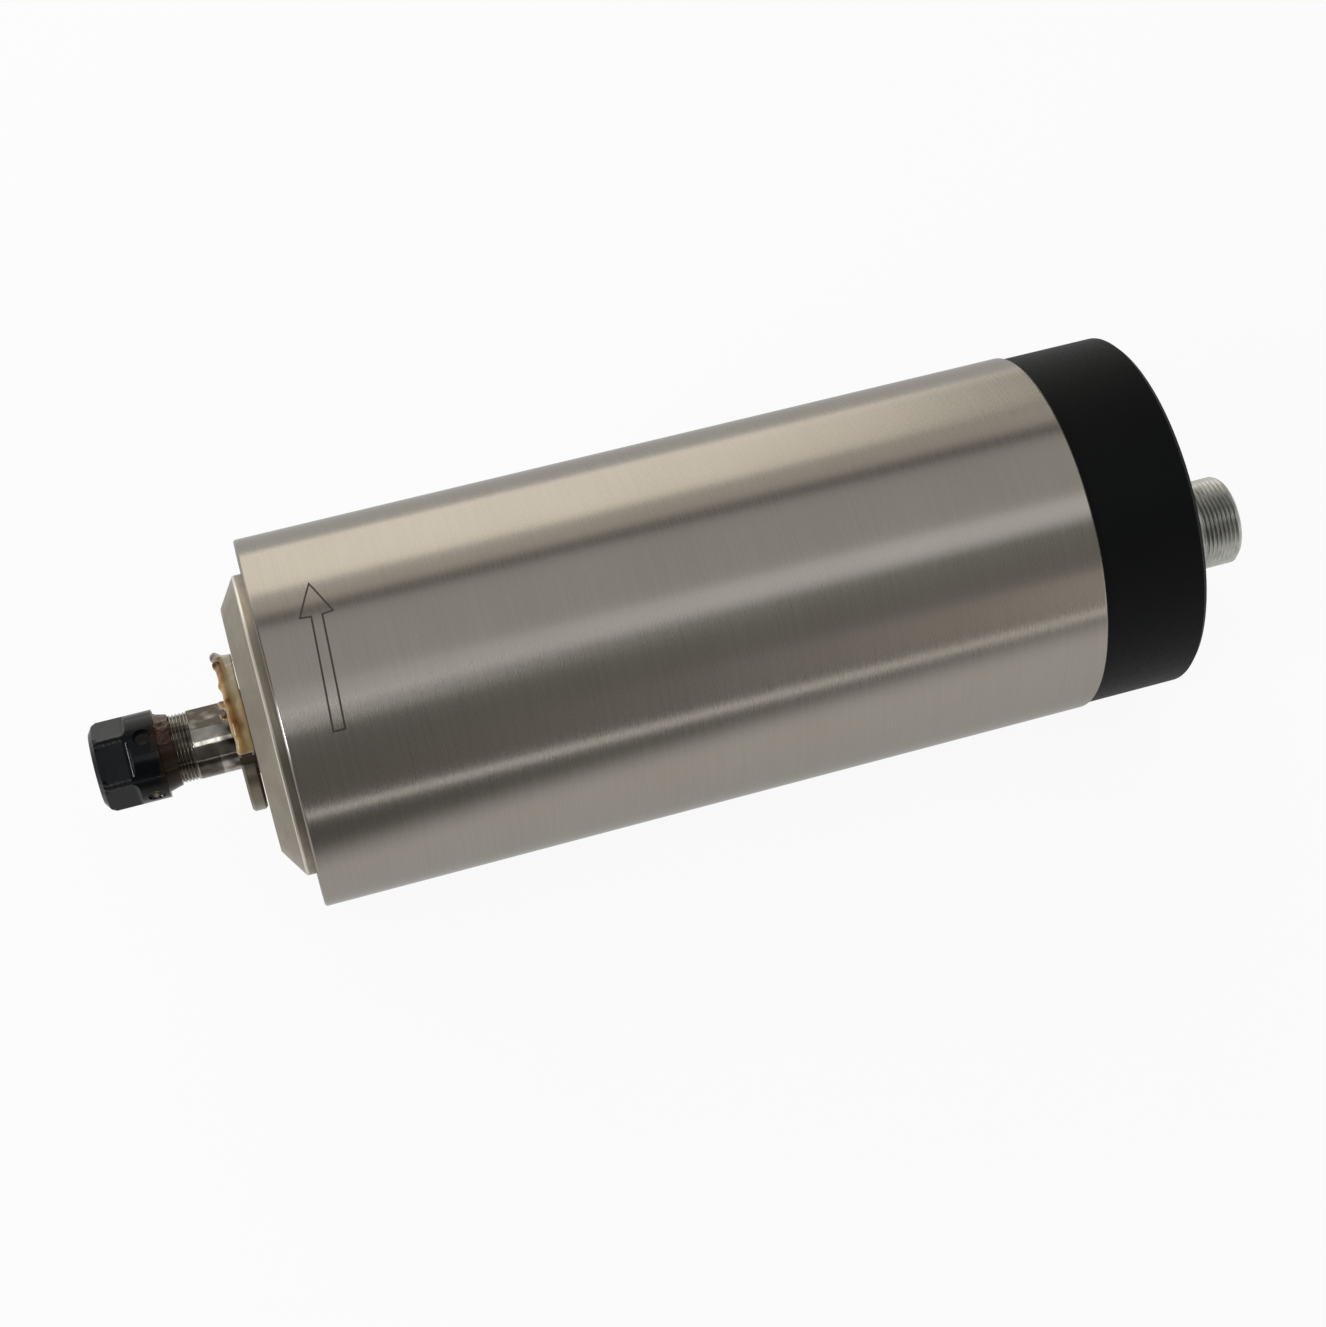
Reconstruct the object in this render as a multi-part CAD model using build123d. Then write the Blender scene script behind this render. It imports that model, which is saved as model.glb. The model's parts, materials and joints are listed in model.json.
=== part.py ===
from build123d import *
import math
import os

# Air-cooled round motor spindle, lying on its side. Millimetres.
# The X axis is the spindle's axis: the collet nose points towards -X, the fan and the connector
# towards +X, and Z is up. The origin is on the axis, at the middle of the clamping jacket.
# Angles round the axis are counted from +Y towards +Z.

# ---- Driving dimensions ------------------------------------------------------------------

# Clearances
press_gap = 0.02          # seats that are pressed or clamped together
running_gap = 0.05        # turning and sliding fits, and threads drawn plain
labyrinth_gap = 0.3       # non-touching seals and the motor's air gap
slip_gap = 0.1            # parts that slide together by hand

# Clamping jacket
jacket_diameter = 80.0
jacket_length = 172.0
jacket_wall = 2.0
jacket_chamfer = 0.4

# Motor frame: a finned aluminium tube inside the jacket
frame_bore_radius = 27.0
frame_wall = 5.0
frame_inset = 8.0         # from the jacket's front rim to the frame
rear_room = 22.0          # from the frame back to the jacket's rear rim
fin_count = 24
fin_thickness = 1.6
fin_setback = 3.0         # the fins start this far behind the frame's front end

# Front housing: the conical nose that carries the front bearings
nose_reach = 6.0          # how far the nose face stands in front of the jacket
nose_overhang = 0.7       # the flange stands this much over the frame
nose_cone_length = 4.0
nose_cone_depth = 6.3
nose_edge = 0.3
front_lip = 5.0           # wall in front of the bearings
nose_screw_circle = 22.0  # radius of the screw circle
nose_screw_count = 4
nose_screw_angle = 45.0
retainer_thickness = 3.0

# Angular-contact bearings, 15 x 32 x 9
bearing_bore_radius = 7.5
bearing_radius = 16.0
bearing_width = 9.0
ball_radius = 2.38
ball_count = 9
front_bearing_count = 2
race_shoulder = 0.9       # depth of the ball groove
relieved_shoulder = 0.25  # depth of the groove on the side that lets the ball in
cage_wall = 1.6
cage_width = 7.4
bearing_edge = 0.4

# Rear housing
rear_spigot = 8.0
rear_flange = 8.0
rear_hub_radius = 19.0
rear_lip = 2.0
rear_lip_radius = 12.6
rear_bearing_set_in = 2.0     # from the frame's rear end forward to the bearing's front face
spring_height = 1.5
spring_thickness = 0.5
ear_width = 9.0
housing_screw_count = 4
housing_screw_angle = 0.0

# Shaft
nose_shaft_radius = 7.4
shaft_thread_length = 14.4
shaft_neck_length = 8.6       # from the thread to the dust ring
shaft_shoulder_radius = 9.4
shaft_shoulder_length = 4.0
shaft_body_radius = 9.0
fan_seat_radius = 5.0
fan_shoulder_radius = 6.5
shaft_bore_radius = 3.6
shaft_bore_depth = 36.0
shaft_edge = 0.4
wrench_flats = 12.5
wrench_flat_angle = 65.0

# Dust ring in front of the nose
dust_ring_radius = 16.8
dust_ring_thickness = 3.2
dust_ring_standoff = 0.4
dust_ring_edge = 0.5
dust_ring_slot_width = 1.8
dust_ring_slot_depth = 2.2
dust_ring_slot_count = 4
dust_ring_slot_angle = 143.0
sleeve_wall = 1.7

# Collet, 11.5 mm across with an 8 degree taper
collet_length = 18.0
collet_radius = 5.75
collet_taper = 8.0
collet_cap_angle = 30.0
collet_face_radius = 4.75
collet_groove_start = 2.3
collet_groove_end = 4.0
collet_slit = 0.8
collet_slit_count = 4
collet_slit_bridge = 4.5
tool_radius = 3.0
collet_recess = 0.3           # the collet's face lies this far inside the nut's

# Collet nut
nut_radius = 9.5
nut_length = 16.6
nut_flats = 17.0
nut_flat_length = 6.8
nut_flat_angle = 1.0
nut_runout_radius = 1.3
nut_front_chamfer = 2.0
nut_cone_length = 2.9
nut_cone_radius = 8.0
nut_ring_radius = 5.0
nut_ring_gap = 0.2
thread_showing = 4.1          # shaft thread left bare behind the nut
balance_hole_radius = 1.8
balance_hole_depth = 1.2
balance_hole_count = 4
balance_hole_angle = 96.0
balance_hole_set_back = 10.9

# Motor
core_front_room = 27.0        # from the frame's front end to the lamination stack
core_rear_room = 25.0         # from the stack to the frame's rear end
stator_bore_radius = 15.5
slot_count = 18
slot_width = 2.8
slot_inner_radius = 17.3
slot_outer_radius = 23.5
slot_mouth = 1.2
slot_liner = 0.15
end_turn_length = 11.0
end_turn_inner_radius = 16.8
end_turn_outer_radius = 24.2
end_turn_edge = 2.5
rotor_end_ring = 4.0

# Rear lock nut and fan
lock_nut_radius = 12.0
lock_nut_thickness = 4.0
lock_nut_slot = 2.2
fan_standoff = 2.0            # from the lock nut to the fan
fan_width = 12.0
fan_hub_radius = 9.0
fan_tip_gap = 0.7             # from the blade tips to the cover's bosses
fan_blade_count = 7
fan_blade_thickness = 1.4
fan_root_chord = 12.0
fan_tip_chord = 16.0
fan_root_angle = 40.0         # blade to axis
fan_tip_angle = 58.0
fan_washer_thickness = 1.0
fan_washer_radius = 6.0

# Rear cover
cover_step = 0.6              # the cover is this much smaller than the jacket
cover_length = 23.0
cover_wall = 2.4
cover_spigot = 8.0
cover_edge = 1.0
cover_screw_inset = 3.6       # from the jacket's bore in to the cover screws
cover_screw_count = 4
cover_screw_angle = 45.0
cover_boss_radius = 3.2
vent_count = 20
vent_width = 3.0
vent_inner_radius = 22.0
vent_boss_gap = 0.6           # from the slots' ends to the bosses

# Connector: a round threaded four-pin socket
connector_offset = 7.1
connector_angle = 213.0
connector_reach = 21.0        # from the cover's rear face to the mouth
connector_thread_radius = 10.0
connector_thread_length = 10.0
connector_neck_radius = 10.4
connector_shank_radius = 9.0
connector_chamfer = 1.1
connector_bore_radius = 8.2
connector_bore_depth = 7.5
connector_inner_reach = 9.0   # shank inside the cover
connector_nut_flats = 22.0
connector_nut_thickness = 3.0
connector_key_width = 2.0
connector_key_depth = 0.8
pin_count = 4
pin_radius = 0.75
pin_circle = 4.8
pin_recess = 1.5
pin_tail = 3.0

# Socket-head screws
m4_radius = 2.0
m4_head_radius = 3.5
m4_head_height = 4.0
m3_radius = 1.5
m3_head_radius = 2.75
m3_head_height = 3.0
hex_key_share = 0.5           # socket size as a share of the head's width
screw_clearance = 0.25
housing_screw_length = 16.0
fan_screw_length = 12.0
cover_screw_grip = 6.0        # thread of the cover screws in the rear housing

# ---- Stations along the axis, worked out from the sizes above -------------------------------

jacket_front = -jacket_length / 2
jacket_rear = jacket_length / 2
jacket_radius = jacket_diameter / 2
jacket_bore_radius = jacket_radius - jacket_wall
frame_radius = frame_bore_radius + frame_wall
fin_radius = jacket_bore_radius - slip_gap
frame_front = jacket_front + frame_inset
frame_rear = jacket_rear - rear_room
housing_screw_circle = frame_radius - m3_head_radius - slip_gap

nose_face = jacket_front - nose_reach
nose_radius = frame_radius + nose_overhang
nose_face_radius = nose_radius - nose_cone_depth
nose_screw_seat = nose_face + m4_head_height + screw_clearance
front_bearing_start = nose_face + front_lip
front_bearing_end = front_bearing_start + front_bearing_count * bearing_width
retainer_end = front_bearing_end + retainer_thickness
ball_circle = (bearing_bore_radius + bearing_radius) / 2
inner_race_radius = ball_circle - ball_radius + race_shoulder
outer_race_radius = ball_circle + ball_radius - race_shoulder

rear_bearing_start = frame_rear - rear_bearing_set_in
rear_bearing_end = rear_bearing_start + bearing_width
rear_lip_start = rear_bearing_end + spring_height
rear_flange_end = frame_rear + rear_flange

dust_ring_rear = nose_face - dust_ring_standoff
dust_ring_front = dust_ring_rear - dust_ring_thickness
thread_rear = dust_ring_front - shaft_neck_length
shaft_front = thread_rear - shaft_thread_length
nut_rear = thread_rear - thread_showing
nut_front = nut_rear - nut_length
collet_front = nut_front + collet_recess
collet_rear = collet_front + collet_length
collet_cone_start = collet_front + collet_groove_end
lock_nut_rear = rear_bearing_end + lock_nut_thickness
fan_front = lock_nut_rear + fan_standoff
fan_rear = fan_front + fan_width
shaft_rear = fan_rear - slip_gap

core_front = frame_front + core_front_room
core_rear = frame_rear - core_rear_room
rotor_radius = stator_bore_radius - labyrinth_gap
sleeve_radius = bearing_bore_radius + sleeve_wall

cover_radius = jacket_radius - cover_step
cover_rear = jacket_rear + cover_length
cover_wall_start = cover_rear - cover_wall
cover_spigot_front = jacket_rear - cover_spigot
cover_bore_radius = fin_radius - cover_wall
cover_screw_circle = jacket_bore_radius - cover_screw_inset
fan_radius = cover_screw_circle - cover_boss_radius - fan_tip_gap
vent_outer_radius = cover_screw_circle - cover_boss_radius - vent_boss_gap
connector_mouth = cover_rear + connector_reach
insert_face = connector_mouth - connector_bore_depth
insert_rear = cover_rear - connector_inner_reach
connector_centre = Rot(X=connector_angle) * Pos(0, connector_offset, 0)


# ---- Helpers ------------------------------------------------------------------------------

def turned(*profile):
    """A solid turned about the X axis from its (x, radius) corners."""
    return revolve(make_face(Polyline(*profile, close=True)), Axis.X)


def sleeve(start, end, inner, outer, edge=0.0):
    """A turned tube, with a chamfer on both outer edges."""
    if edge == 0.0:
        return turned((start, inner), (end, inner), (end, outer), (start, outer))
    return turned(
        (start, inner), (end, inner), (end, outer - edge), (end - edge, outer),
        (start + edge, outer), (start, outer - edge),
    )


def slab(start, end, outline):
    """A flat outline in the YZ plane made into a solid from one station to another."""
    return extrude(Plane.YZ.offset(start) * outline, amount=end - start)


def rod(start, end, radius, circle=0.0, angle=0.0):
    """A straight cylinder along X, on a circle round the axis."""
    return Rot(X=angle) * Pos(0, circle, 0) * slab(start, end, Circle(radius))


def around(count, first=0.0):
    """Evenly spaced angles round the axis."""
    return [first + i * 360 / count for i in range(count)]


def socket_screw(start, length, radius, head_radius, head_height, direction=1):
    """A socket-head screw on the X axis, its head's seat at start, its shank along direction."""
    seat = start
    tip = start + direction * length
    top = start - direction * head_height
    key = RegularPolygon(head_radius * hex_key_share, 6, major_radius=False)
    body = sleeve(min(seat, top), max(seat, top), 0, head_radius, bearing_edge)
    body += sleeve(min(seat, tip), max(seat, tip), 0, radius)
    socket = slab(min(top, (top + seat) / 2), max(top, (top + seat) / 2), key)
    return body - socket


def on_circle(solid, circle, angles):
    """Copies of one solid round the axis, as separate solids."""
    return Compound([Rot(X=angle) * Pos(0, circle, 0) * solid for angle in angles])


def save(name, shape):
    """Writes one sub-part."""
    export_step(shape, f"parts/{name}.step")


# ---- Jacket and motor frame -----------------------------------------------------------------

def outer_jacket():
    """The clamped steel tube, its rims chamfered outside and inside."""
    return turned(
        (jacket_front, jacket_bore_radius + jacket_chamfer),
        (jacket_front + jacket_chamfer, jacket_bore_radius),
        (jacket_rear, jacket_bore_radius),
        (jacket_rear, jacket_radius - jacket_chamfer),
        (jacket_rear - jacket_chamfer, jacket_radius),
        (jacket_front + jacket_chamfer, jacket_radius),
        (jacket_front, jacket_radius - jacket_chamfer),
    )


def motor_frame():
    """The aluminium tube that holds the stator, with cooling fins out to the jacket."""
    fin = Pos((frame_radius + jacket_bore_radius) / 2, 0) * Rectangle(
        jacket_bore_radius - frame_radius + frame_wall, fin_thickness
    )
    fins = Sketch() + [Rot(Z=angle) * fin for angle in around(fin_count)]
    tube = Circle(frame_radius) - Circle(frame_bore_radius)
    finned = (fins & Circle(fin_radius)) + tube - Circle(frame_bore_radius)
    body = slab(frame_front, frame_front + fin_setback, tube)
    body += slab(frame_front + fin_setback, frame_rear, finned)
    for angle in around(housing_screw_count, housing_screw_angle):
        hole_start = frame_rear - (housing_screw_length - rear_flange) - 1
        body -= rod(hole_start, frame_rear, m3_radius + running_gap, housing_screw_circle, angle)
    return body


# ---- Front housing --------------------------------------------------------------------------

def front_housing():
    """The conical nose, its bearing seat and the spigot that fits the motor frame."""
    body = turned(
        (nose_face, sleeve_radius + labyrinth_gap),
        (nose_face, nose_face_radius),
        (nose_face + nose_cone_length, nose_radius),
        (frame_front - nose_edge, nose_radius),
        (frame_front, nose_radius - nose_edge),
        (frame_front, frame_bore_radius - press_gap),
        (front_bearing_end, frame_bore_radius - press_gap),
        (front_bearing_end, bearing_radius + press_gap),
        (front_bearing_start, bearing_radius + press_gap),
        (front_bearing_start, sleeve_radius + labyrinth_gap),
    )
    for angle in around(nose_screw_count, nose_screw_angle):
        body -= rod(nose_face, nose_screw_seat, m4_head_radius + slip_gap, nose_screw_circle, angle)
        body -= rod(nose_face, front_bearing_end, m4_radius + screw_clearance, nose_screw_circle, angle)
    return body


def front_retainer():
    """The plate behind the front bearings, drawn up by the nose screws."""
    plate = sleeve(front_bearing_end, retainer_end, outer_race_radius, frame_bore_radius - slip_gap)
    for angle in around(nose_screw_count, nose_screw_angle):
        plate -= rod(front_bearing_end, retainer_end, m4_radius + running_gap, nose_screw_circle, angle)
    return plate


def front_screws():
    """Socket screws through the nose into the retainer."""
    length = retainer_end - nose_screw_seat
    screw = socket_screw(nose_screw_seat, length, m4_radius, m4_head_radius, m4_head_height)
    return on_circle(screw, nose_screw_circle, around(nose_screw_count, nose_screw_angle))


# ---- Bearings -------------------------------------------------------------------------------

def bearing_pieces(start, opens_forward):
    """One angular-contact bearing: its outer ring, inner ring, balls and cage."""
    middle = start + bearing_width / 2
    end = start + bearing_width
    groove = ball_radius + running_gap
    low_shoulder = outer_race_radius + race_shoulder - relieved_shoulder
    track = revolve(Pos(middle, ball_circle) * Circle(groove), Axis.X)
    front_shoulder = low_shoulder if opens_forward else outer_race_radius
    rear_shoulder = outer_race_radius if opens_forward else low_shoulder
    outer = turned(
        (start, front_shoulder), (middle, front_shoulder), (middle, rear_shoulder), (end, rear_shoulder),
        (end, bearing_radius - bearing_edge), (end - bearing_edge, bearing_radius),
        (start + bearing_edge, bearing_radius), (start, bearing_radius - bearing_edge),
    ) - track
    inner = sleeve(start, end, bearing_bore_radius, inner_race_radius, bearing_edge) - track
    angles = around(ball_count)
    balls = [Rot(X=angle) * Pos(middle, ball_circle, 0) * Sphere(ball_radius) for angle in angles]
    cage = sleeve(
        middle - cage_width / 2, middle + cage_width / 2,
        ball_circle - cage_wall / 2, ball_circle + cage_wall / 2,
    )
    pocket = Pos(middle, ball_circle, 0) * Rot(X=90) * Cylinder(ball_radius + running_gap, 3 * cage_wall)
    for angle in angles:
        cage -= Rot(X=angle) * pocket
    return outer, inner, balls, cage


def save_bearings(place, starts):
    """Writes the bearings of one end, a node for each kind of piece, set back to back."""
    outers, inners, balls, cages = [], [], [], []
    for number, start in enumerate(starts):
        outer, inner, set_of_balls, cage = bearing_pieces(start, opens_forward=number == 0)
        outers.append(outer)
        inners.append(inner)
        balls.extend(set_of_balls)
        cages.append(cage)
    save(f"{place}_bearing_outer_rings", Compound(outers))
    save(f"{place}_bearing_inner_rings", Compound(inners))
    save(f"{place}_bearing_balls", Compound(balls))
    save(f"{place}_bearing_cages", Compound(cages))


# ---- Shaft and what turns with it -------------------------------------------------------------

def collet_cone_radius(station):
    """The radius of the collet's taper at a station."""
    return collet_radius - (station - collet_cone_start) * math.tan(math.radians(collet_taper))


def shaft():
    """The spindle shaft: threaded nose with the collet taper, bearing seats and fan seat."""
    journal = bearing_bore_radius - press_gap
    rotor_shoulder = front_bearing_end + shaft_shoulder_length
    rear_shoulder = rear_bearing_start - shaft_shoulder_length
    taper_end = collet_rear + 1
    body = turned(
        (shaft_front, collet_cone_radius(shaft_front) + running_gap),
        (shaft_front, nose_shaft_radius - shaft_edge),
        (shaft_front + shaft_edge, nose_shaft_radius),
        (dust_ring_front, nose_shaft_radius),
        (dust_ring_front, journal), (front_bearing_end, journal),
        (front_bearing_end, shaft_shoulder_radius), (rotor_shoulder, shaft_shoulder_radius),
        (rotor_shoulder, shaft_body_radius), (rear_shoulder, shaft_body_radius),
        (rear_shoulder, shaft_shoulder_radius), (rear_bearing_start, shaft_shoulder_radius),
        (rear_bearing_start, journal), (lock_nut_rear, journal),
        (lock_nut_rear, fan_shoulder_radius), (fan_front, fan_shoulder_radius),
        (fan_front, fan_seat_radius), (shaft_rear, fan_seat_radius),
        (shaft_rear, m4_radius + running_gap),
        (shaft_rear - fan_screw_length, m4_radius + running_gap),
        (shaft_rear - fan_screw_length, 0),
        (shaft_front + shaft_bore_depth, 0),
        (shaft_front + shaft_bore_depth, shaft_bore_radius),
        (taper_end, shaft_bore_radius),
        (taper_end, collet_cone_radius(taper_end) + running_gap),
    )
    flat = Pos((thread_rear + dust_ring_front) / 2, wrench_flats / 2 + nose_shaft_radius, 0) * Box(
        shaft_neck_length - shaft_edge, 2 * nose_shaft_radius, 3 * nose_shaft_radius
    )
    for angle in around(2, wrench_flat_angle):
        body -= Rot(X=angle) * Pos(-shaft_edge / 2, 0, 0) * flat
    return body


def dust_ring():
    """The slotted ring nut that clamps the front bearings and throws dust off the nose."""
    ring = sleeve(dust_ring_front, dust_ring_rear, bearing_bore_radius, dust_ring_radius, dust_ring_edge)
    notch = Pos((dust_ring_front + dust_ring_rear) / 2, dust_ring_radius, 0) * Box(
        2 * dust_ring_thickness, 2 * dust_ring_slot_depth, dust_ring_slot_width
    )
    for angle in around(dust_ring_slot_count, dust_ring_slot_angle):
        ring -= Rot(X=angle) * notch
    return ring


def rotor_end_rings():
    """The cast rings that join the rotor's bars at both ends of its core."""
    inner = shaft_body_radius + labyrinth_gap
    front = sleeve(core_front - rotor_end_ring, core_front, inner, rotor_radius - bearing_edge, bearing_edge)
    rear = sleeve(core_rear, core_rear + rotor_end_ring, inner, rotor_radius - bearing_edge, bearing_edge)
    return Compound([front, rear])


def rear_lock_nut():
    """The slotted nut that clamps the rear bearing's inner ring."""
    nut = sleeve(rear_bearing_end, lock_nut_rear, bearing_bore_radius, lock_nut_radius, bearing_edge)
    notch = Pos((rear_bearing_end + lock_nut_rear) / 2, lock_nut_radius, 0) * Box(
        2 * lock_nut_thickness, lock_nut_slot, lock_nut_slot
    )
    for angle in around(dust_ring_slot_count):
        nut -= Rot(X=angle) * notch
    return nut


def fan():
    """The axial fan: pitched blades that drive air forwards, twisted from root to tip."""
    middle = (fan_front + fan_rear) / 2

    def section(radius, chord, angle):
        """One blade section, its leading edge to the rear on the side it turns towards."""
        lean = math.radians(angle)
        plane = Plane(
            origin=(middle, radius, 0), x_dir=(-math.cos(lean), 0, math.sin(lean)), z_dir=(0, 1, 0)
        )
        return plane * Rectangle(chord, fan_blade_thickness)

    root = section(fan_hub_radius - fan_blade_thickness, fan_root_chord, fan_root_angle)
    tip = section(fan_radius, fan_tip_chord, fan_tip_angle)
    blade = loft([root.face(), tip.face()])
    wheel = sleeve(fan_front, fan_rear, fan_seat_radius + press_gap, fan_hub_radius, bearing_edge)
    for angle in around(fan_blade_count):
        wheel += Rot(X=angle) * blade
    return wheel & rod(fan_front, fan_rear, fan_radius)


# ---- Collet and nut ---------------------------------------------------------------------------

def collet():
    """The slotted spring collet: cap cone, extraction groove, long taper and crossed slits."""
    cap_length = (collet_radius - collet_face_radius) / math.tan(math.radians(collet_cap_angle))
    body = turned(
        (collet_front, tool_radius),
        (collet_front, collet_face_radius),
        (collet_front + cap_length, collet_radius),
        (collet_front + collet_groove_start, collet_radius),
        (collet_front + collet_groove_start, collet_face_radius),
        (collet_cone_start, collet_face_radius),
        (collet_cone_start, collet_radius),
        (collet_rear, collet_cone_radius(collet_rear)),
        (collet_rear, tool_radius),
    )
    slit_length = collet_length - collet_slit_bridge
    slit = Box(2 * slit_length, 2 * collet_radius, collet_slit, align=(Align.CENTER, Align.MIN, Align.CENTER))
    for angle in around(collet_slit_count):
        body -= Rot(X=angle) * Pos(collet_front, 0, 0) * slit
        body -= Rot(X=angle + 180 / collet_slit_count) * Pos(collet_rear, 0, 0) * slit
    return body


def collet_nut():
    """The hexagon nut: its cone closes the collet and its inner ring draws it out again."""
    cap_length = (collet_radius - collet_face_radius) / math.tan(math.radians(collet_cap_angle))
    ring_front = collet_front + collet_groove_start + nut_ring_gap
    ring_rear = collet_cone_start - nut_ring_gap
    mouth = collet_face_radius + running_gap
    throat = collet_radius + running_gap
    thread = nose_shaft_radius + running_gap
    body = turned(
        (nut_front, mouth),
        (nut_front, nut_radius - nut_front_chamfer),
        (nut_front + nut_front_chamfer / 2, nut_radius - nut_front_chamfer / 4),
        (nut_front + nut_front_chamfer, nut_radius),
        (nut_rear - nut_cone_length, nut_radius),
        (nut_rear - nut_cone_length, nut_cone_radius + shaft_edge),
        (nut_rear, nut_cone_radius - shaft_edge),
        (nut_rear, thread),
        (ring_rear, thread),
        (ring_rear, nut_ring_radius),
        (ring_front, nut_ring_radius),
        (ring_front, throat),
        (collet_front + cap_length, throat),
        (collet_front, mouth),
    )
    flat_end = nut_front + nut_flat_length
    flat_radius = nut_flats / 2
    sweep = Pos((nut_front + flat_end) / 2, flat_radius + nut_runout_radius) * Rectangle(
        nut_flat_length, 2 * nut_runout_radius
    ) + Pos(flat_end, flat_radius + nut_runout_radius) * Circle(nut_runout_radius)
    cutter = extrude(sweep, amount=nut_radius * math.tan(math.radians(30)) + nut_runout_radius / 2, both=True)
    for angle in around(6, nut_flat_angle):
        body -= Rot(X=angle) * cutter
    drilling = Pos(nut_front + balance_hole_set_back, nut_radius, 0) * Rot(X=90) * Cylinder(
        balance_hole_radius, 2 * balance_hole_depth
    )
    for angle in around(balance_hole_count, balance_hole_angle):
        body -= Rot(X=angle) * drilling
    return body


# ---- Motor ----------------------------------------------------------------------------------

def slot_outline(liner=0.0):
    """One stator slot without its mouth, from its inner to its outer radius."""
    return Pos((slot_inner_radius + slot_outer_radius) / 2, 0) * Rectangle(
        slot_outer_radius - slot_inner_radius - 2 * liner, slot_width - 2 * liner
    )


def stator_core():
    """The lamination stack with its slots open to the bore."""
    section = Circle(frame_bore_radius - press_gap) - Circle(stator_bore_radius)
    mouth = Pos(slot_inner_radius - 1, 0) * Rectangle(slot_width, slot_mouth)
    for angle in around(slot_count):
        section -= Rot(Z=angle) * (slot_outline() + mouth)
    return slab(core_front, core_rear, section)


def stator_winding():
    """The copper winding: a bar of wire in every slot and a bevelled bundle at both ends."""
    bundle = Rectangle(end_turn_length, end_turn_outer_radius - end_turn_inner_radius)
    bundle = chamfer(bundle.vertices(), end_turn_edge)
    centre = (end_turn_outer_radius + end_turn_inner_radius) / 2
    winding = revolve(Pos(core_front - end_turn_length / 2, centre) * bundle, Axis.X)
    winding += revolve(Pos(core_rear + end_turn_length / 2, centre) * bundle, Axis.X)
    bar = slab(core_front, core_rear, slot_outline(slot_liner))
    for angle in around(slot_count):
        winding += Rot(X=angle) * bar
    return winding


# ---- Rear housing -----------------------------------------------------------------------------

def rear_housing():
    """The rear bearing carrier, with four ears that take the cover's screws."""
    bore = bearing_radius + press_gap
    body = turned(
        (frame_rear - rear_spigot, bore), (frame_rear - rear_spigot, frame_bore_radius - press_gap),
        (frame_rear, frame_bore_radius - press_gap), (frame_rear, frame_radius),
        (rear_flange_end, frame_radius), (rear_flange_end, rear_hub_radius),
        (rear_lip_start + rear_lip, rear_hub_radius), (rear_lip_start + rear_lip, rear_lip_radius),
        (rear_lip_start, rear_lip_radius), (rear_lip_start, bore),
    )
    reach = fin_radius - rear_hub_radius
    arm = Pos(rear_hub_radius + reach / 2, 0) * Rectangle(reach, ear_width) & Circle(fin_radius)
    arm = arm - Circle(frame_radius - frame_wall / 2)
    for angle in around(cover_screw_count, cover_screw_angle):
        body += Rot(X=angle) * slab(frame_rear, rear_flange_end, arm)
    for angle in around(cover_screw_count, cover_screw_angle):
        hole_start = rear_flange_end - cover_screw_grip - 1
        body -= rod(hole_start, rear_flange_end, m3_radius + running_gap, cover_screw_circle, angle)
    for angle in around(housing_screw_count, housing_screw_angle):
        body -= rod(
            frame_rear, rear_flange_end, m3_radius + screw_clearance, housing_screw_circle, angle
        )
    return body


def housing_screws():
    """Socket screws that hold the rear housing to the motor frame."""
    screw = socket_screw(
        rear_flange_end, housing_screw_length, m3_radius, m3_head_radius, m3_head_height, direction=-1
    )
    return on_circle(screw, housing_screw_circle, around(housing_screw_count, housing_screw_angle))


def preload_spring():
    """The disc spring that loads the rear bearing's outer ring."""
    inner = outer_race_radius + running_gap
    outer = bearing_radius - slip_gap
    return turned(
        (rear_bearing_end, outer), (rear_bearing_end + spring_thickness, outer),
        (rear_lip_start, inner), (rear_lip_start - spring_thickness, inner),
    )


# ---- Rear cover -------------------------------------------------------------------------------

def rear_cover():
    """The black cover: a cup with a spigot in the jacket, screw bosses, air slots and plug hole."""
    inside = cover_radius - cover_wall
    body = turned(
        (cover_spigot_front, cover_bore_radius), (cover_spigot_front, fin_radius),
        (jacket_rear, fin_radius), (jacket_rear, cover_radius),
        (cover_rear - cover_edge, cover_radius), (cover_rear, cover_radius - cover_edge),
        (cover_rear, 0), (cover_wall_start, 0), (cover_wall_start, inside),
        (jacket_rear + cover_wall, inside), (jacket_rear + cover_wall, cover_bore_radius),
    )
    for angle in around(cover_screw_count, cover_screw_angle):
        body += rod(rear_flange_end, cover_wall_start, cover_boss_radius, cover_screw_circle, angle)
    for angle in around(cover_screw_count, cover_screw_angle):
        clearance = m3_radius + screw_clearance
        body -= rod(rear_flange_end, cover_rear, clearance, cover_screw_circle, angle)
        body -= rod(
            cover_rear - m3_head_height, cover_rear, m3_head_radius + slip_gap, cover_screw_circle, angle
        )
    vent = SlotOverall(vent_outer_radius - vent_inner_radius, vent_width)
    vent = Pos((vent_inner_radius + vent_outer_radius) / 2, 0) * vent
    for angle in around(vent_count):
        body -= Rot(X=angle) * slab(cover_wall_start, cover_rear, vent)
    hole = slab(cover_wall_start, cover_rear, Circle(connector_shank_radius + slip_gap))
    return body - connector_centre * hole


def cover_screws():
    """The long socket screws through the cover into the rear housing's ears."""
    seat = cover_rear - m3_head_height
    length = seat - rear_flange_end + cover_screw_grip
    screw = socket_screw(seat, length, m3_radius, m3_head_radius, m3_head_height, direction=-1)
    return on_circle(screw, cover_screw_circle, around(cover_screw_count, cover_screw_angle))


# ---- Connector --------------------------------------------------------------------------------

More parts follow.
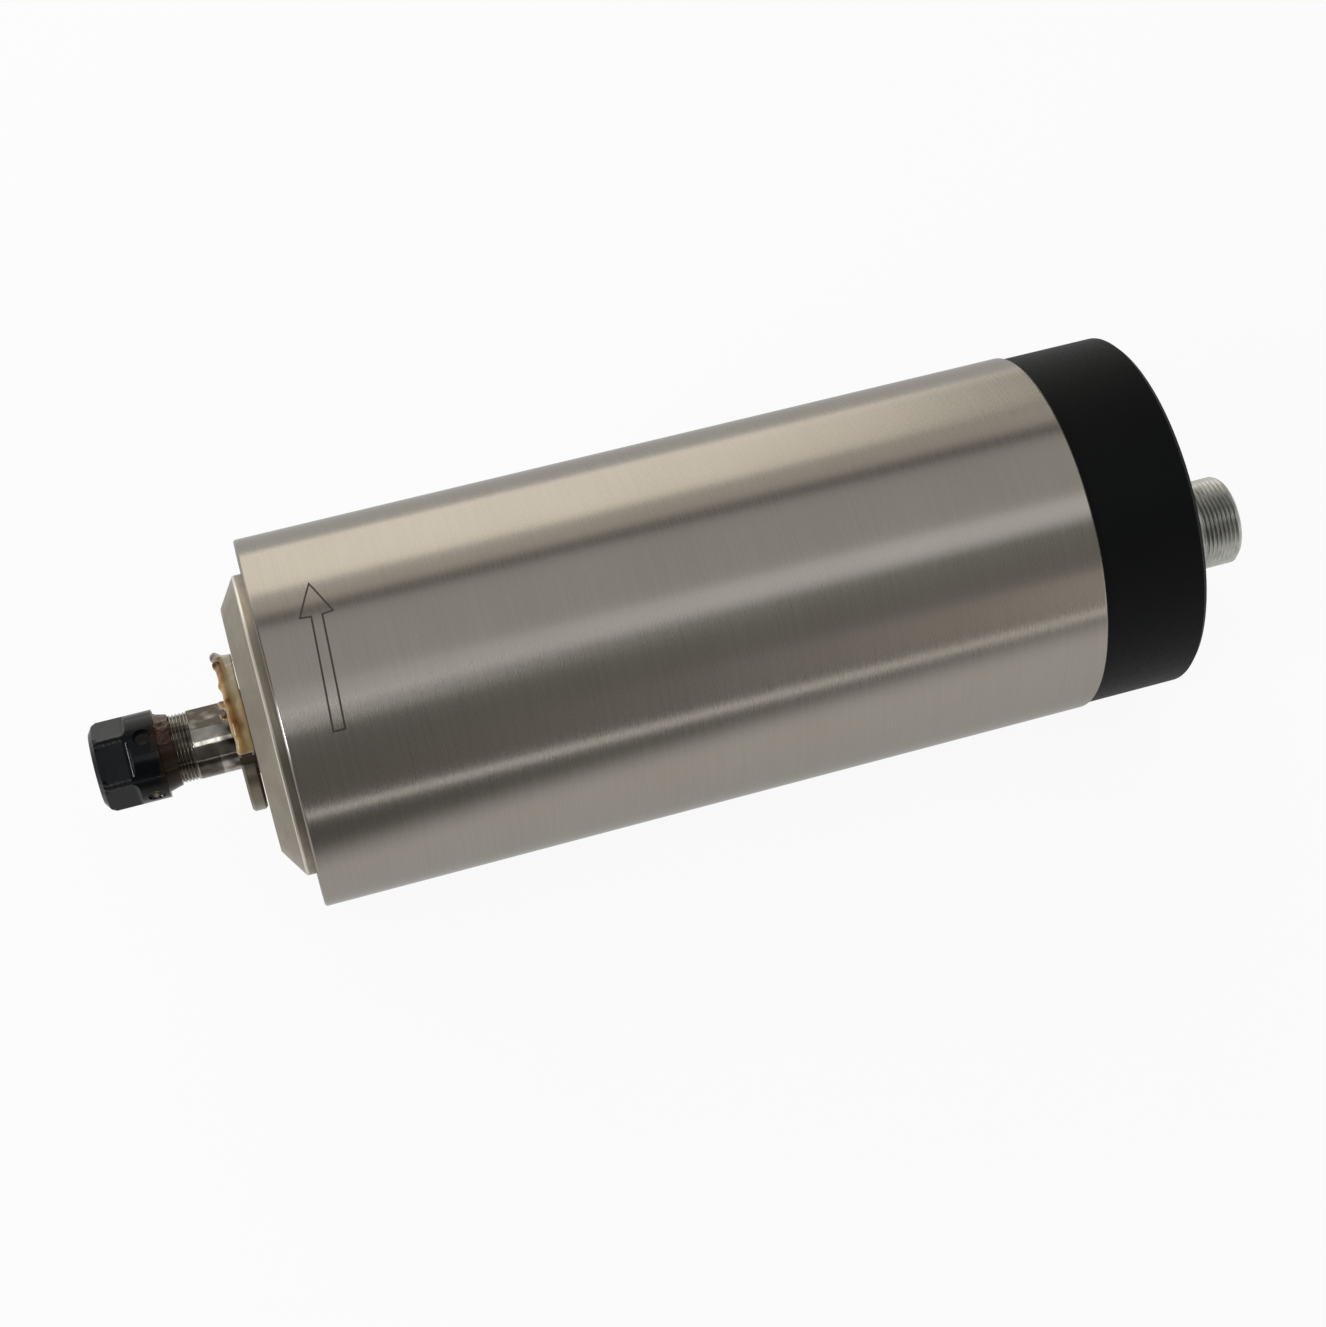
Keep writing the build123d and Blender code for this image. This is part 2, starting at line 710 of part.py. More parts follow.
def connector_shell():
    """The threaded metal socket with its neck, its shank in the cover and its inner key."""
    thread_start = connector_mouth - connector_thread_length
    shell = turned(
        (insert_rear, connector_bore_radius), (insert_rear, connector_shank_radius),
        (cover_rear, connector_shank_radius), (cover_rear, connector_neck_radius),
        (thread_start, connector_neck_radius), (thread_start, connector_thread_radius),
        (connector_mouth - connector_chamfer, connector_thread_radius),
        (connector_mouth, connector_thread_radius - connector_chamfer),
        (connector_mouth, connector_bore_radius),
    )
    key = Pos(0, connector_bore_radius - connector_key_depth / 2 + press_gap) * Rectangle(
        connector_key_width, connector_key_depth
    )
    shell += slab(insert_face + slip_gap, connector_mouth - connector_chamfer, key)
    return connector_centre * shell


def pin_places():
    """The contact pins' angles, on the diagonals of the insert."""
    return around(pin_count, 180 / pin_count)


def connector_insert():
    """The insulating block that carries the pins."""
    block = slab(insert_rear, insert_face, Circle(connector_bore_radius - press_gap))
    for angle in pin_places():
        block -= rod(insert_rear, insert_face, pin_radius + press_gap, pin_circle, angle)
    return connector_centre * block


def connector_pins():
    """Round-ended contact pins, with their solder tails inside the cover."""
    start = insert_rear - pin_tail
    end = connector_mouth - pin_recess
    pin = turned(
        (start, 0), (start, pin_radius), (end - pin_radius / 2, pin_radius), (end, pin_radius / 2), (end, 0)
    )
    return connector_centre * on_circle(pin, pin_circle, pin_places())


def connector_nut():
    """The thin hexagon nut that holds the socket from inside the cover."""
    outline = RegularPolygon(connector_nut_flats / 2, 6, major_radius=False)
    outline = outline - Circle(connector_shank_radius + running_gap)
    return connector_centre * slab(cover_wall_start - connector_nut_thickness, cover_wall_start, outline)


# ---- Write every sub-part ---------------------------------------------------------------------

os.makedirs("parts", exist_ok=True)

save("outer_jacket", outer_jacket())
save("motor_frame", motor_frame())
save("front_housing", front_housing())
save("front_retainer", front_retainer())
save("front_screws", front_screws())
save_bearings("front", [front_bearing_start + i * bearing_width for i in range(front_bearing_count)])
save_bearings("rear", [rear_bearing_start])

save("shaft", shaft())
save("dust_ring", dust_ring())
save("front_sleeve", sleeve(dust_ring_rear, front_bearing_start, bearing_bore_radius, sleeve_radius))
save("rotor_core", sleeve(core_front, core_rear, shaft_body_radius + press_gap, rotor_radius))
save("rotor_end_rings", rotor_end_rings())
save("rear_lock_nut", rear_lock_nut())
save("fan", fan())
washer_rear = fan_rear + fan_washer_thickness
save("fan_washer", sleeve(fan_rear, washer_rear, m4_radius + slip_gap, fan_washer_radius))
save("fan_screw", socket_screw(
    washer_rear, fan_screw_length, m4_radius, m4_head_radius, m4_head_height, direction=-1
))
save("collet", collet())
save("collet_nut", collet_nut())

save("stator_core", stator_core())
save("stator_winding", stator_winding())

save("rear_housing", rear_housing())
save("housing_screws", housing_screws())
save("preload_spring", preload_spring())
save("rear_cover", rear_cover())
save("cover_screws", cover_screws())
save("connector_shell", connector_shell())
save("connector_insert", connector_insert())
save("connector_pins", connector_pins())
save("connector_nut", connector_nut())
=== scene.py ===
# %% [markdown]
# # Dressing an air-cooled motor spindle
# The engineering model gives every part its place and size. This lesson loads it as a fixed frame,
# lays finished surfaces over the parts that show most, and gives every part the finish of its real
# material. Blender counts in metres and a machinist in millimetres, so the spindle's sizes are
# written in millimetres and multiplied by `MM` once. Only the lamps and the floor are in metres.

# %% Load the frame
import json
import bpy
import bmesh
import numpy as np
from mathutils import Matrix, Vector


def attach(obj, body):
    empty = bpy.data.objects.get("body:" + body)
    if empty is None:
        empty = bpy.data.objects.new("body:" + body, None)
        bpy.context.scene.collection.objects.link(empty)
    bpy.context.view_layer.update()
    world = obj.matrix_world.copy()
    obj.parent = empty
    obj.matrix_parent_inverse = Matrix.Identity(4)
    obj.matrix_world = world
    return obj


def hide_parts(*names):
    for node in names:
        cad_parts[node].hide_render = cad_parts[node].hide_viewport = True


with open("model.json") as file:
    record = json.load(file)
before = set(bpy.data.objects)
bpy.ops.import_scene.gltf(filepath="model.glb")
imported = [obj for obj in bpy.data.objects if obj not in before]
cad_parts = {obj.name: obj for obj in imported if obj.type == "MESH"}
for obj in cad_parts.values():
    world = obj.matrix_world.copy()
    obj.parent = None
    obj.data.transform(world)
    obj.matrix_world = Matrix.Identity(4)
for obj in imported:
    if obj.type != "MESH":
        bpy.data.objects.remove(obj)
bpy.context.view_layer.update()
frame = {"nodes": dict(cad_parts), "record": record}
MM = 0.001
TURN = 2 * np.pi

# %% [markdown]
# ## The camera first
# It stands where a person leans over a bench: in front of the nose end, high up, looking down at
# about 57 degrees. A 67 mm lens keeps the perspective gentle, and the Standard view transform
# keeps colours as they are written.

# %% Camera and colour
EYE, LOOK = (-88.23, -287.7, 442.95), (0.15965, 0.5256, -0.8356)     # mm, and a direction


def add_object(name, data):
    """Puts a camera, a mesh or a lamp into the scene as an object."""
    thing = bpy.data.objects.new(name, data)
    bpy.context.scene.collection.objects.link(thing)
    return thing


eye = add_object("camera", bpy.data.cameras.new("camera"))
eye.data.lens, eye.data.sensor_width = 66.71, 36.0
eye.data.clip_start, eye.data.clip_end = 0.01, 50.0
eye.location = Vector(EYE) * MM
eye.rotation_euler = Vector(LOOK).to_track_quat("-Z", "Y").to_euler()
bpy.context.scene.camera = eye
bpy.context.scene.view_settings.view_transform = "Standard"
print("camera", [round(c, 3) for c in eye.location])

# %% [markdown]
# ## Small tools for surfaces
# Nearly every part of a spindle comes off a lathe, so nearly every surface here is a profile that
# `turn` carries round the X axis. `soften` first breaks its corners, as a lathe hand does with a
# file, because a perfectly sharp edge catches no light.

# %% Profiles
MOST_CUT, HOLD = 0.3, 1.5        # a cut's longest share of a side, a holding point's place in cuts


def soften(corners, size, steps=3):
    """Rounds every corner P of a closed profile. The curve starts at A, `size` before the corner,
    and ends at C, `size` after it: (1-t)^2 A + 2t(1-t) P + t^2 C. One more point on each side
    keeps the straight parts straight."""
    corners = np.asarray(corners, float)
    ways = [np.roll(corners, shift, axis=0) - corners for shift in (1, -1)]
    lengths = [np.linalg.norm(way, axis=1, keepdims=True) for way in ways]
    reach = np.minimum(size, MOST_CUT * np.minimum(*lengths))
    before, after = (way / length * reach for way, length in zip(ways, lengths))
    t = np.linspace(0, 1, steps + 1)[None, :, None]
    corner, start, end = corners[:, None], (corners + before)[:, None], (corners + after)[:, None]
    curve = (1 - t) ** 2 * start + 2 * t * (1 - t) * corner + t ** 2 * end
    first, last = ((corners + HOLD * way)[:, None] for way in (before, after))
    return np.concatenate([first, curve, last], axis=1).reshape(-1, 2)


def even_angles(count):
    """Angles evenly spaced round one turn, in radians."""
    return np.arange(count) * TURN / count


def round_axis(x, r, angle):
    """Points at distance r from the X axis: at angle a, (x, r cos a, r sin a)."""
    return np.stack([x, r * np.cos(angle), r * np.sin(angle)], axis=-1)


def turn(profile, angle, change=None):
    """Carries an (x, r) profile round the X axis. `change(x, r, a)` may give a new radius, for
    flats, threads and drillings."""
    x = np.repeat(profile[:, :1], len(angle), axis=1)
    r = np.repeat(profile[:, 1:], len(angle), axis=1)
    if change is not None:
        r = change(x, r, np.broadcast_to(angle, x.shape))
    return round_axis(x, r, angle)


def constant_radius(x, r):
    """The (x, r) path of a plain cylinder."""
    return np.stack([x, np.full_like(x, r)], -1)


print("a softened square has", len(soften([(0, 0), (1, 0), (1, 1), (0, 1)], 0.1)), "points")

# %% [markdown]
# `surface` joins a grid of points into a closed mesh. A face turned inwards shades and exports
# wrong. The volume under all the faces is positive when they point outwards, so a negative one
# tells the function to turn them. A UV map, with U along the profile and V round the axis, serves
# the jacket's satin later.

# %% A closed surface from a grid
UV_PER_MM = 0.01


def surface(name, points, wrap_rows=True):
    """A mesh over a grid of points in millimetres. Each point is joined to its neighbours in the
    next row and column, and the last column to the first."""
    rows, columns = points.shape[:2]
    index = np.arange(rows * columns).reshape(rows, columns)
    if wrap_rows:
        index = np.vstack([index, index[:1]])
    index = np.hstack([index, index[:, :1]])
    row, column = np.indices((len(index) - 1, columns))
    row = (row[..., None] + [0, 0, 1, 1]).reshape(-1, 4)
    column = (column[..., None] + [0, 1, 1, 0]).reshape(-1, 4)
    flat = points.reshape(-1, 3) * MM
    a, b, c, d = (flat[corner] for corner in index[row, column].T)
    volume = np.einsum("ij,ij->", np.cross(a, b), c) + np.einsum("ij,ij->", np.cross(a, c), d)
    if volume < 0:
        row, column = row[:, ::-1], column[:, ::-1]
    mesh = bpy.data.meshes.new(name)
    mesh.from_pydata(flat, [], index[row, column])
    run = np.linalg.norm(np.diff(points[:, 0], axis=0, append=points[:1, 0]), axis=1)
    along = np.concatenate([[0.0], np.cumsum(run)])[: len(index)]
    uv = mesh.uv_layers.new(name="turned")
    place = np.stack([along[row] * UV_PER_MM, column / columns], -1)
    uv.data.foreach_set("uv", place.reshape(-1).astype(np.float32))
    mesh.update()
    return mesh

# %% [markdown]
# Each new piece rides on one moving body of the spindle, so it follows when a joint moves, and
# takes the place of the plain part that it dresses.

# %% Pieces
finishes = {}                    # slot: material, filled as the finishes are made


def add_piece(mesh, body, slot, replaces=(), finish=None, crisp=40):
    """Puts a mesh into the scene as a piece that rides on a body, in its slot's finish or in
    another. Edges that turn by more than `crisp` degrees stay edges. Close points are merged."""
    work = bmesh.new()
    work.from_mesh(mesh)
    bmesh.ops.remove_doubles(work, verts=work.verts, dist=1e-7)
    work.to_mesh(mesh)
    work.free()
    mesh.polygons.foreach_set("use_smooth", np.ones(len(mesh.polygons), bool))
    mesh.set_sharp_from_angle(angle=np.radians(crisp))
    piece = add_object(mesh.name, mesh)
    mesh.materials.append(finishes[finish or slot])
    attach(piece, body)
    if replaces:
        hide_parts(*replaces)
    print(f"{mesh.name}: {len(mesh.vertices)} points, {len(mesh.polygons)} faces")
    return piece

# %% [markdown]
# Wear, oil and grease depend on where a point lies on the part. `lathe_place` measures that,
# `ripple` makes it irregular, and `mark` stores the result for a material to read.

# %% Places and marks
def lathe_place(mesh):
    """Where each point of a turned mesh lies, in mm and radians: (x, radius, angle)."""
    place = np.zeros(len(mesh.vertices) * 3, np.float32)
    mesh.vertices.foreach_get("co", place)
    x, y, z = (place.reshape(-1, 3) / MM).T
    return x, np.hypot(y, z), np.arctan2(z, y)


def mark(mesh, name, amount):
    """Stores one number per point, 0 to 1, which a material can read by its name."""
    layer = mesh.attributes.new(name, "FLOAT", "POINT")
    layer.data.foreach_set("value", np.clip(amount, 0, 1).astype(np.float32))


def ripple(a, b, seed):
    """A smooth random field of two coordinates, nine sine waves added, from about -1 to 1. Each
    wave's pitch, direction and phase come from the seed, so every run is the same."""
    chance = np.random.default_rng(seed)
    field = np.zeros(np.broadcast(a, b).shape)
    for _ in range(9):
        pitch = chance.uniform(0.7, 2.6)
        way, phase = chance.uniform(0, TURN), chance.uniform(0, TURN)
        field = field + np.sin(pitch * (a * np.cos(way) + b * np.sin(way)) * 2 + phase) / pitch
    return field / 4


print("ripple spans", np.round(np.ptp(ripple(np.arange(99.0), 0, 1)), 2))

# %% [markdown]
# ## Small tools for materials
# Every finish is a Principled shader whose plain numbers sit on its own sockets. `plug` sets a
# node's inputs, and `add_node` adds a node with its settings and links.

# %% Colours, nodes and materials
def linear(code):
    """Turns an sRGB hex colour into the linear numbers that a shader works with."""
    value = np.array([int(code[i:i + 2], 16) for i in (1, 3, 5)]) / 255
    value = np.where(value <= 0.04045, value / 12.92, ((value + 0.055) / 1.055) ** 2.4)
    return (*value.tolist(), 1.0)


def plug(node, inputs):
    """Sets a node's inputs. Each is a value, another node's output to link from, or a node, which
    stands for its first output."""
    for name, value in inputs.items():
        if isinstance(value, bpy.types.Node):
            value = value.outputs[0]
        if isinstance(value, bpy.types.NodeSocket):
            node.id_data.links.new(value, node.inputs[name])
        else:
            node.inputs[name].default_value = value


def add_node(tree, kind, inputs=None, **settings):
    """Adds one node. `kind` is its type, without the word ShaderNode that each begins with."""
    node = tree.nodes.new("ShaderNode" + kind)
    for name, value in settings.items():
        setattr(node, name, value)
    plug(node, inputs or {})
    return node


def start_material(slots, name, color, metallic, roughness, **sockets):
    """Starts the finish of one or more slots, with a Principled shader and its plain values."""
    material = bpy.data.materials.new(name)
    for slot in slots.split():
        finishes[slot] = material
    material.use_nodes = True
    tree = material.node_tree
    tree.nodes.clear()
    inputs = {"Base Color": linear(color), "Metallic": metallic, "Roughness": roughness}
    inputs.update({key.replace("_", " "): value for key, value in sockets.items()})
    shader = add_node(tree, "BsdfPrincipled", inputs)
    add_node(tree, "OutputMaterial", {"Surface": shader})
    print("material:", name)
    return tree, shader


print("mid grey is", round(linear("#808080")[0], 3), "in linear light")

# %% [markdown]
# `pattern` makes what varies on a finish, such as grain, oil and wear. It reads Object
# coordinates, which are metres here, so a scale of 1 / size gives a real size. A lathe tool leaves
# rings, along a tube and across a flat face alike, and reading the noise at x + distance from the
# axis draws both. `dress` lets patterns drive a finish's colour, gloss and relief.

# %% Patterns
WHOLE = (0.0, 1.0)               # the span of a pattern that blends two colours
LOW, HIGH = 0.3, 0.7             # most of Blender's noise lies between these


def pattern(tree, size, around=None, detail=3.0, span=None, length=None):
    """Noise with features of `size` mm. Plain, it is an even grain. With `around` it makes lathe
    rings, and `around` is how quickly a ring fades and swells on its way round. `length` draws
    the grain out along the axis, in mm. `span` gives the two values it varies between."""
    place = add_node(tree, "TexCoord").outputs["Object"]
    scale = 1 / (size * MM)
    if around is not None:
        flat = add_node(tree, "VectorMath", {0: place, 1: (0, 1, 1)}, operation="MULTIPLY")
        reach = add_node(tree, "VectorMath", {0: flat}, operation="LENGTH").outputs["Value"]
        split = add_node(tree, "SeparateXYZ", {0: place})
        both = add_node(tree, "Math", {0: split, 1: reach}, operation="ADD")
        ring = add_node(tree, "Math", {0: both, 1: scale}, operation="MULTIPLY")
        turns = around / (40.0 * MM)
        slow = add_node(tree, "VectorMath", {0: flat, 1: (0, turns, turns)}, operation="MULTIPLY")
        lift = add_node(tree, "CombineXYZ", {0: ring})
        place = add_node(tree, "VectorMath", {0: lift, 1: slow}, operation="ADD")
        scale = 1.0
    if length is not None:
        place = add_node(tree, "Mapping", {"Vector": place, "Scale": (size / length, 1, 1)})
    noise = add_node(tree, "TexNoise", {"Vector": place, "Scale": scale, "Detail": detail})
    if span is None:
        return noise.outputs["Fac"]
    return add_node(tree, "MapRange", {
        "Value": noise.outputs["Fac"], "From Min": LOW, "From Max": HIGH,
        "To Min": span[0], "To Max": span[1],
    }).outputs["Result"]


def dress(shader, colors=None, roughness=None, relief=None):
    """Lets patterns drive a finish. `colors` is a ground colour and then a (share, coat) for each
    coat over it, `roughness` is a pattern, and `relief` is (height, its depth in mm)."""
    if colors is not None:
        color = linear(colors[0])
        for share, coat in colors[1:]:
            coat = linear(coat) if isinstance(coat, str) else coat
            color = add_node(shader.id_data, "Mix", {0: share, 6: color, 7: coat},
                             data_type="RGBA").outputs[2]
        plug(shader, {"Base Color": color})
    if roughness is not None:
        plug(shader, {"Roughness": roughness})
    if relief is not None:
        height, depth = relief
        plug(shader, {"Normal": add_node(shader.id_data, "Bump", {
            "Height": height, "Strength": 1.0, "Distance": depth * MM})})

# %% [markdown]
# ## Jacket: stainless tube, fine-turned and satin
# The turning marks run round the tube, so they smear every reflection along it: long soft bands
# lie parallel to the axis, crisp across it. Bump alone would need marks finer than a pixel, so
# anisotropy does it, with its direction taken from U of the surface's own UV map.

# %% Jacket steel
# Stainless steel, turned: a warm grey mirror that is blurred one way only.
tree, shader = start_material("jacket_steel", "stainless steel, satin turned", "#A09A90", 1.0, 0.27,
                              Anisotropic=0.78, Specular_Tint=(0.7, 0.7, 0.7, 1))
# A real feed is about 0.1 mm, too fine to show, so the marks are drawn at 0.5 mm.
FEED, FADE = 0.5, 1.2
patches, streaks = pattern(tree, 26, None, 2.0, (0, 0.5)), pattern(tree, FEED, FADE, span=(0, 0.5))
streaked = add_node(tree, "Math", {0: patches, 1: streaks}, operation="ADD")
dress(shader, ("#9D968C", (streaked, "#A49E94")), pattern(tree, FEED, FADE, span=(0.265, 0.285)),
      (pattern(tree, FEED, FADE), 0.00005))
plug(shader, {"Tangent": add_node(tree, "Tangent", direction_type="UV_MAP", uv_map="turned")})

# %% [markdown]
# The tube is one closed surface of revolution: outside, chamfered rim, bore, chamfered rim.

# %% Jacket
JACKET_RADIUS, JACKET_BORE, JACKET_HALF, RIM = 39.96, 38.0, 86.0, 0.4
jacket_profile = soften([
    (-JACKET_HALF, JACKET_BORE + RIM), (-JACKET_HALF + RIM, JACKET_BORE),
    (JACKET_HALF, JACKET_BORE), (JACKET_HALF, JACKET_RADIUS - RIM),
    (JACKET_HALF - RIM, JACKET_RADIUS), (-JACKET_HALF + RIM, JACKET_RADIUS),
    (-JACKET_HALF, JACKET_RADIUS - RIM),
], 0.15)
jacket_mesh = surface("jacket", turn(jacket_profile, even_angles(360)))
add_piece(jacket_mesh, "stator", "jacket_steel", ["outer_jacket"])

# %% [markdown]
# ## Turning arrow
# A plain outline arrow shows which way the spindle turns. The real one is etched as a fine dark
# line. This one is a thin ribbon wrapped just above the tube, with mitred corners, so its edges
# stay sharp at any distance and it needs no image.

# %% Outline ribbon
def outline_ribbon(x, arc, width, step):
    """A closed outline drawn as a ribbon, each side in short steps so that it can bend round the
    tube. The ribbon's two edges are the outline moved by half its width along the mitre at each
    corner: (n1 + n2) / (1 + n1.n2)."""
    corner = np.stack([x, arc], -1)
    edge = np.roll(corner, -1, axis=0) - corner
    normal = np.stack([edge[:, 1], -edge[:, 0]], -1) / np.linalg.norm(edge, axis=1, keepdims=True)
    back = np.roll(normal, 1, axis=0)
    mitre = (normal + back) / (1 + np.sum(normal * back, axis=1, keepdims=True))
    outer, inner = corner + mitre * width / 2, corner - mitre * width / 2
    count = int(np.ceil(np.linalg.norm(edge, axis=1).max() / step))
    t = np.arange(count)[None, :, None] / count
    return [
        (side[:, None] * (1 - t) + np.roll(side, -1, axis=0)[:, None] * t).reshape(-1, 2)
        for side in (outer, inner)
    ]

# %% [markdown]
# The arrow lies along the turning direction, near the nose. Its corners are in millimetres from
# the front rim, and degrees round the tube from the line that faces the camera.

# %% Arrow
# Laser-etched oxide on steel: a dull brown-black line with no mirror left in it.
tree, shader = start_material("etched_line", "laser-etched oxide line", "#3A332D", 0.3, 0.55)
dress(shader, ("#38312B", (pattern(tree, 0.4), "#4A423A")))

ARROW_LINE, ARROW_STEP = 0.38, 0.8
ARROW_TOP, ARROW_FOOT = 39.975, 39.93
FACING = 122.2                   # degrees round the axis where the jacket faces the camera
arrow = np.array([(12.4, -39.3), (15.6, -28.0), (13.4, -27.7), (12.1, 6.8), (9.7, 6.8),
                  (11.15, -27.7), (8.9, -28.0)])
arrow_arc = np.radians(FACING + arrow[:, 1]) * JACKET_RADIUS
outer, inner = outline_ribbon(arrow[:, 0] - JACKET_HALF, arrow_arc, ARROW_LINE, ARROW_STEP)
ring = np.stack([outer, outer, inner, inner])
height = np.array([ARROW_FOOT, ARROW_TOP, ARROW_TOP, ARROW_FOOT])[:, None]
arrow_points = round_axis(ring[..., 0], height, ring[..., 1] / JACKET_RADIUS)
add_piece(surface("turning_arrow", arrow_points), "stator", "jacket_steel", finish="etched_line")

# %% [markdown]
# ## Collet nut: blackened steel, oiled
# The nut starts as a turned ring 19 mm across. Six flats are milled across its front half, where
# the round cutter leaves an arc at each flat's end, and four shallow drillings balance it. Cutting
# solids from one another would leave long thin faces. Here it is one height field: the radius at
# every place is the smallest that any cutter left there.

# %% Nut surface
NUT_FRONT, NUT_REAR, NUT_RADIUS, NUT_BORE, NUT_LIP = -124.9, -108.3, 9.5, 7.45, 7.6
FLAT_REACH, FLAT_END, CUTTER = 8.5, -118.1, 1.3
DRILL_X, DRILL_RADIUS, DRILL_FLOOR, DRILL_WALL, DRILL_CONE = -114.0, 1.8, 8.3, 0.3, 0.35
NUT_TURNED, DRILLS_TURNED = np.radians(1.0), np.radians(96.0)


def from_nearest(a, first, count):
    """The angle to the nearest of `count` evenly spaced features, the first of them at `first`."""
    return (a - first + TURN / count / 2) % (TURN / count) - TURN / count / 2


def from_drilling(x, a):
    """The distance to the nearest drilling's middle, along the nut's surface."""
    return np.hypot(x - DRILL_X, NUT_RADIUS * np.sin(from_nearest(a, DRILLS_TURNED, 4)))


def milled_nut(x, r, a):
    """Flats: a plane at distance h from the axis leaves radius h / cos(angle from its middle).
    Past the flat's end h climbs along the cutter's circle. Drillings: inside each circle the
    radius drops, over a narrow wall, to a flat floor with a shallow cone."""
    past = np.clip(x - FLAT_END, 0, CUTTER)
    plane = FLAT_REACH + CUTTER - np.sqrt(CUTTER ** 2 - past ** 2)
    outside = r > NUT_LIP
    r = np.where(outside, np.minimum(r, plane / np.cos(from_nearest(a, NUT_TURNED, 6))), r)
    across = from_drilling(x, a)
    floor = DRILL_FLOOR - DRILL_CONE * (1 - across / DRILL_RADIUS)
    floor = floor / np.cos(from_nearest(a, DRILLS_TURNED, 4))
    wall = np.clip((DRILL_RADIUS - across) / DRILL_WALL, 0, 1)
    drilled = r + (floor - r) * wall * wall * (3 - 2 * wall)
    return np.where(outside & (across < DRILL_RADIUS), np.minimum(r, drilled), r)


print("flats", 2 * FLAT_REACH, "mm apart, drillings", 2 * DRILL_RADIUS, "mm wide")

# %% [markdown]
# The profile has close rows where the cutters work and few elsewhere. A column lies on each corner
# between two flats, so that the edge is a true line and not a saw.

# %% Nut mesh
nut_rest = soften([
    (-111.2, NUT_RADIUS), (-111.2, 8.4), (NUT_REAR, NUT_LIP), (NUT_REAR, NUT_BORE),
    (-120.8, NUT_BORE), (-120.8, 5.0), (-122.1, 5.0), (-122.1, 5.8), (-122.868, 5.8), (-124.6, 4.8),
    (NUT_FRONT, 4.8), (NUT_FRONT, 7.5), (-123.9, 9.0), (-122.9, NUT_RADIUS),
], 0.12)
nut_outside = constant_radius(np.linspace(-122.7, -111.4, 112), NUT_RADIUS)
edge_turn = np.arccos(FLAT_REACH / NUT_RADIUS)
flat_part, round_part = np.linspace(0, edge_turn, 35), np.linspace(edge_turn, TURN / 12, 7)
half = np.concatenate([flat_part[:-1], round_part[:-1]])
sector = np.concatenate([half, [TURN / 12], TURN / 6 - half[:0:-1]])
nut_angles = (sector + np.arange(6)[:, None] * TURN / 6).ravel() + NUT_TURNED
nut_mesh = surface("nut", turn(np.concatenate([nut_outside, nut_rest]), nut_angles, milled_nut))
print("nut", round(NUT_REAR - NUT_FRONT, 1), "mm long")

# %% [markdown]
# Black oxide is a thin dark skin on bright steel, and oil gives it a wet gloss. Handling wears it
# to grey along the edges, where the mesh carries a `wear` value. Old grease browns the cone
# behind, and a `stain` value says how much. Both could be painted by hand. Worked out from the
# shape, they stay right when a size changes.

# %% Nut finish
# Black oxide on steel, oiled: nearly black, and it mirrors like a varnish, not like bare metal.
# Its pits are a few microns wide; the grain is drawn at 1 to 2 mm, the size of the oil's smears.
tree, shader = start_material("black_oxide_steel", "black oxide on steel, oiled", "#0A0C0E", 0.0,
                              0.2, Specular_IOR_Level=0.18, IOR=1.45)
worn, stained, drilled = (
    add_node(tree, "Attribute", attribute_name=name).outputs["Fac"]
    for name in ("wear", "stain", "drilled")
)
rubbed = add_node(tree, "Math", {0: worn, 1: pattern(tree, 0.6, span=(0.0, 0.6))},
                  operation="MULTIPLY", use_clamp=True)
plug(shader, {"Metallic": drilled})
dress(shader, ("#050709", (pattern(tree, 2.2, span=WHOLE), "#090C0F"), (stained, "#33210F"),
               (rubbed, "#5C5A55"), (drilled, "#8F8778")),
      pattern(tree, 1.1, span=(0.15, 0.24)), (pattern(tree, 1.6), 0.004))

# %% [markdown]
# Now each point gets its wear, its stain and its share of bare metal in a drilling. The four
# drillings get different shares, given one by one, so one is bright and the rest darker.

# %% Nut wear
WEAR_WIDE = 0.45                 # mm from an edge to where the oxide is whole
FRONT_CORNER = -124.4            # mm: the corner that the front chamfers leave
nut = add_piece(nut_mesh, "nut", "black_oxide_steel", ["collet_nut"], crisp=22)
x, r, a = lathe_place(nut.data)
from_corner = np.abs(np.abs(from_nearest(a, NUT_TURNED, 6)) - edge_turn) * NUT_RADIUS
from_corner = np.where(x < FLAT_END, from_corner, NUT_RADIUS)
from_rim = np.where(r > 7, np.abs(x - FRONT_CORNER), NUT_RADIUS)
mark(nut.data, "wear", (1 - np.minimum(from_corner, from_rim) / WEAR_WIDE) * (r > 7.3))
mark(nut.data, "stain", (x + 112.4) / 2.2 + 0.5 * ripple(x, a * 4, 3))
which = np.floor((a - DRILLS_TURNED + TURN / 8) / (TURN / 4)).astype(int) % 4
brightness = np.array([0.06, 0.85, 0.5, 0.3])[which]
on_floor = (r > 7.9) & (r < 9.0) & (from_drilling(x, a) < DRILL_RADIUS - 0.1)
mark(nut.data, "drilled", brightness * on_floor * (abs(x - DRILL_X) < 1.9))
print("points in drillings:", int(on_floor.sum()))

# %% [markdown]
# ## Shaft: ground steel with a fine thread
# Only the shaft's nose shows: a thread of 0.75 mm pitch for the nut, then a ground neck with two
# wrench flats. A thread could be a V swept along a helix, but its ends are hard to close. Here it
# is a folded ramp that climbs one pitch per turn and lowers the turned surface, so the shaft stays
# one closed skin.

# %% Shaft surface
THREAD_START, THREAD_END, PITCH, THREAD_DEPTH = -118.2, -104.2, 0.75, 0.42
FLATS_START, FLATS_END, HALF_FLATS = THREAD_END, -96.0, 6.25
NECK_RADIUS, FLATS_TURNED = 7.4, np.radians(65.0)


def v_thread(x, a, pitch, depth, start, end):
    """Depth of a V thread: distance along the axis less the share of a turn, folded into a
    triangle wave. It fades in over one pitch and out over half of one."""
    phase = x / pitch - a / TURN
    wave = 1 - 2 * np.abs(phase - np.floor(phase) - 0.5)
    fade = np.clip((x - start) / pitch, 0, 1) * np.clip((end - x) / (0.5 * pitch), 0, 1)
    return depth * wave * fade


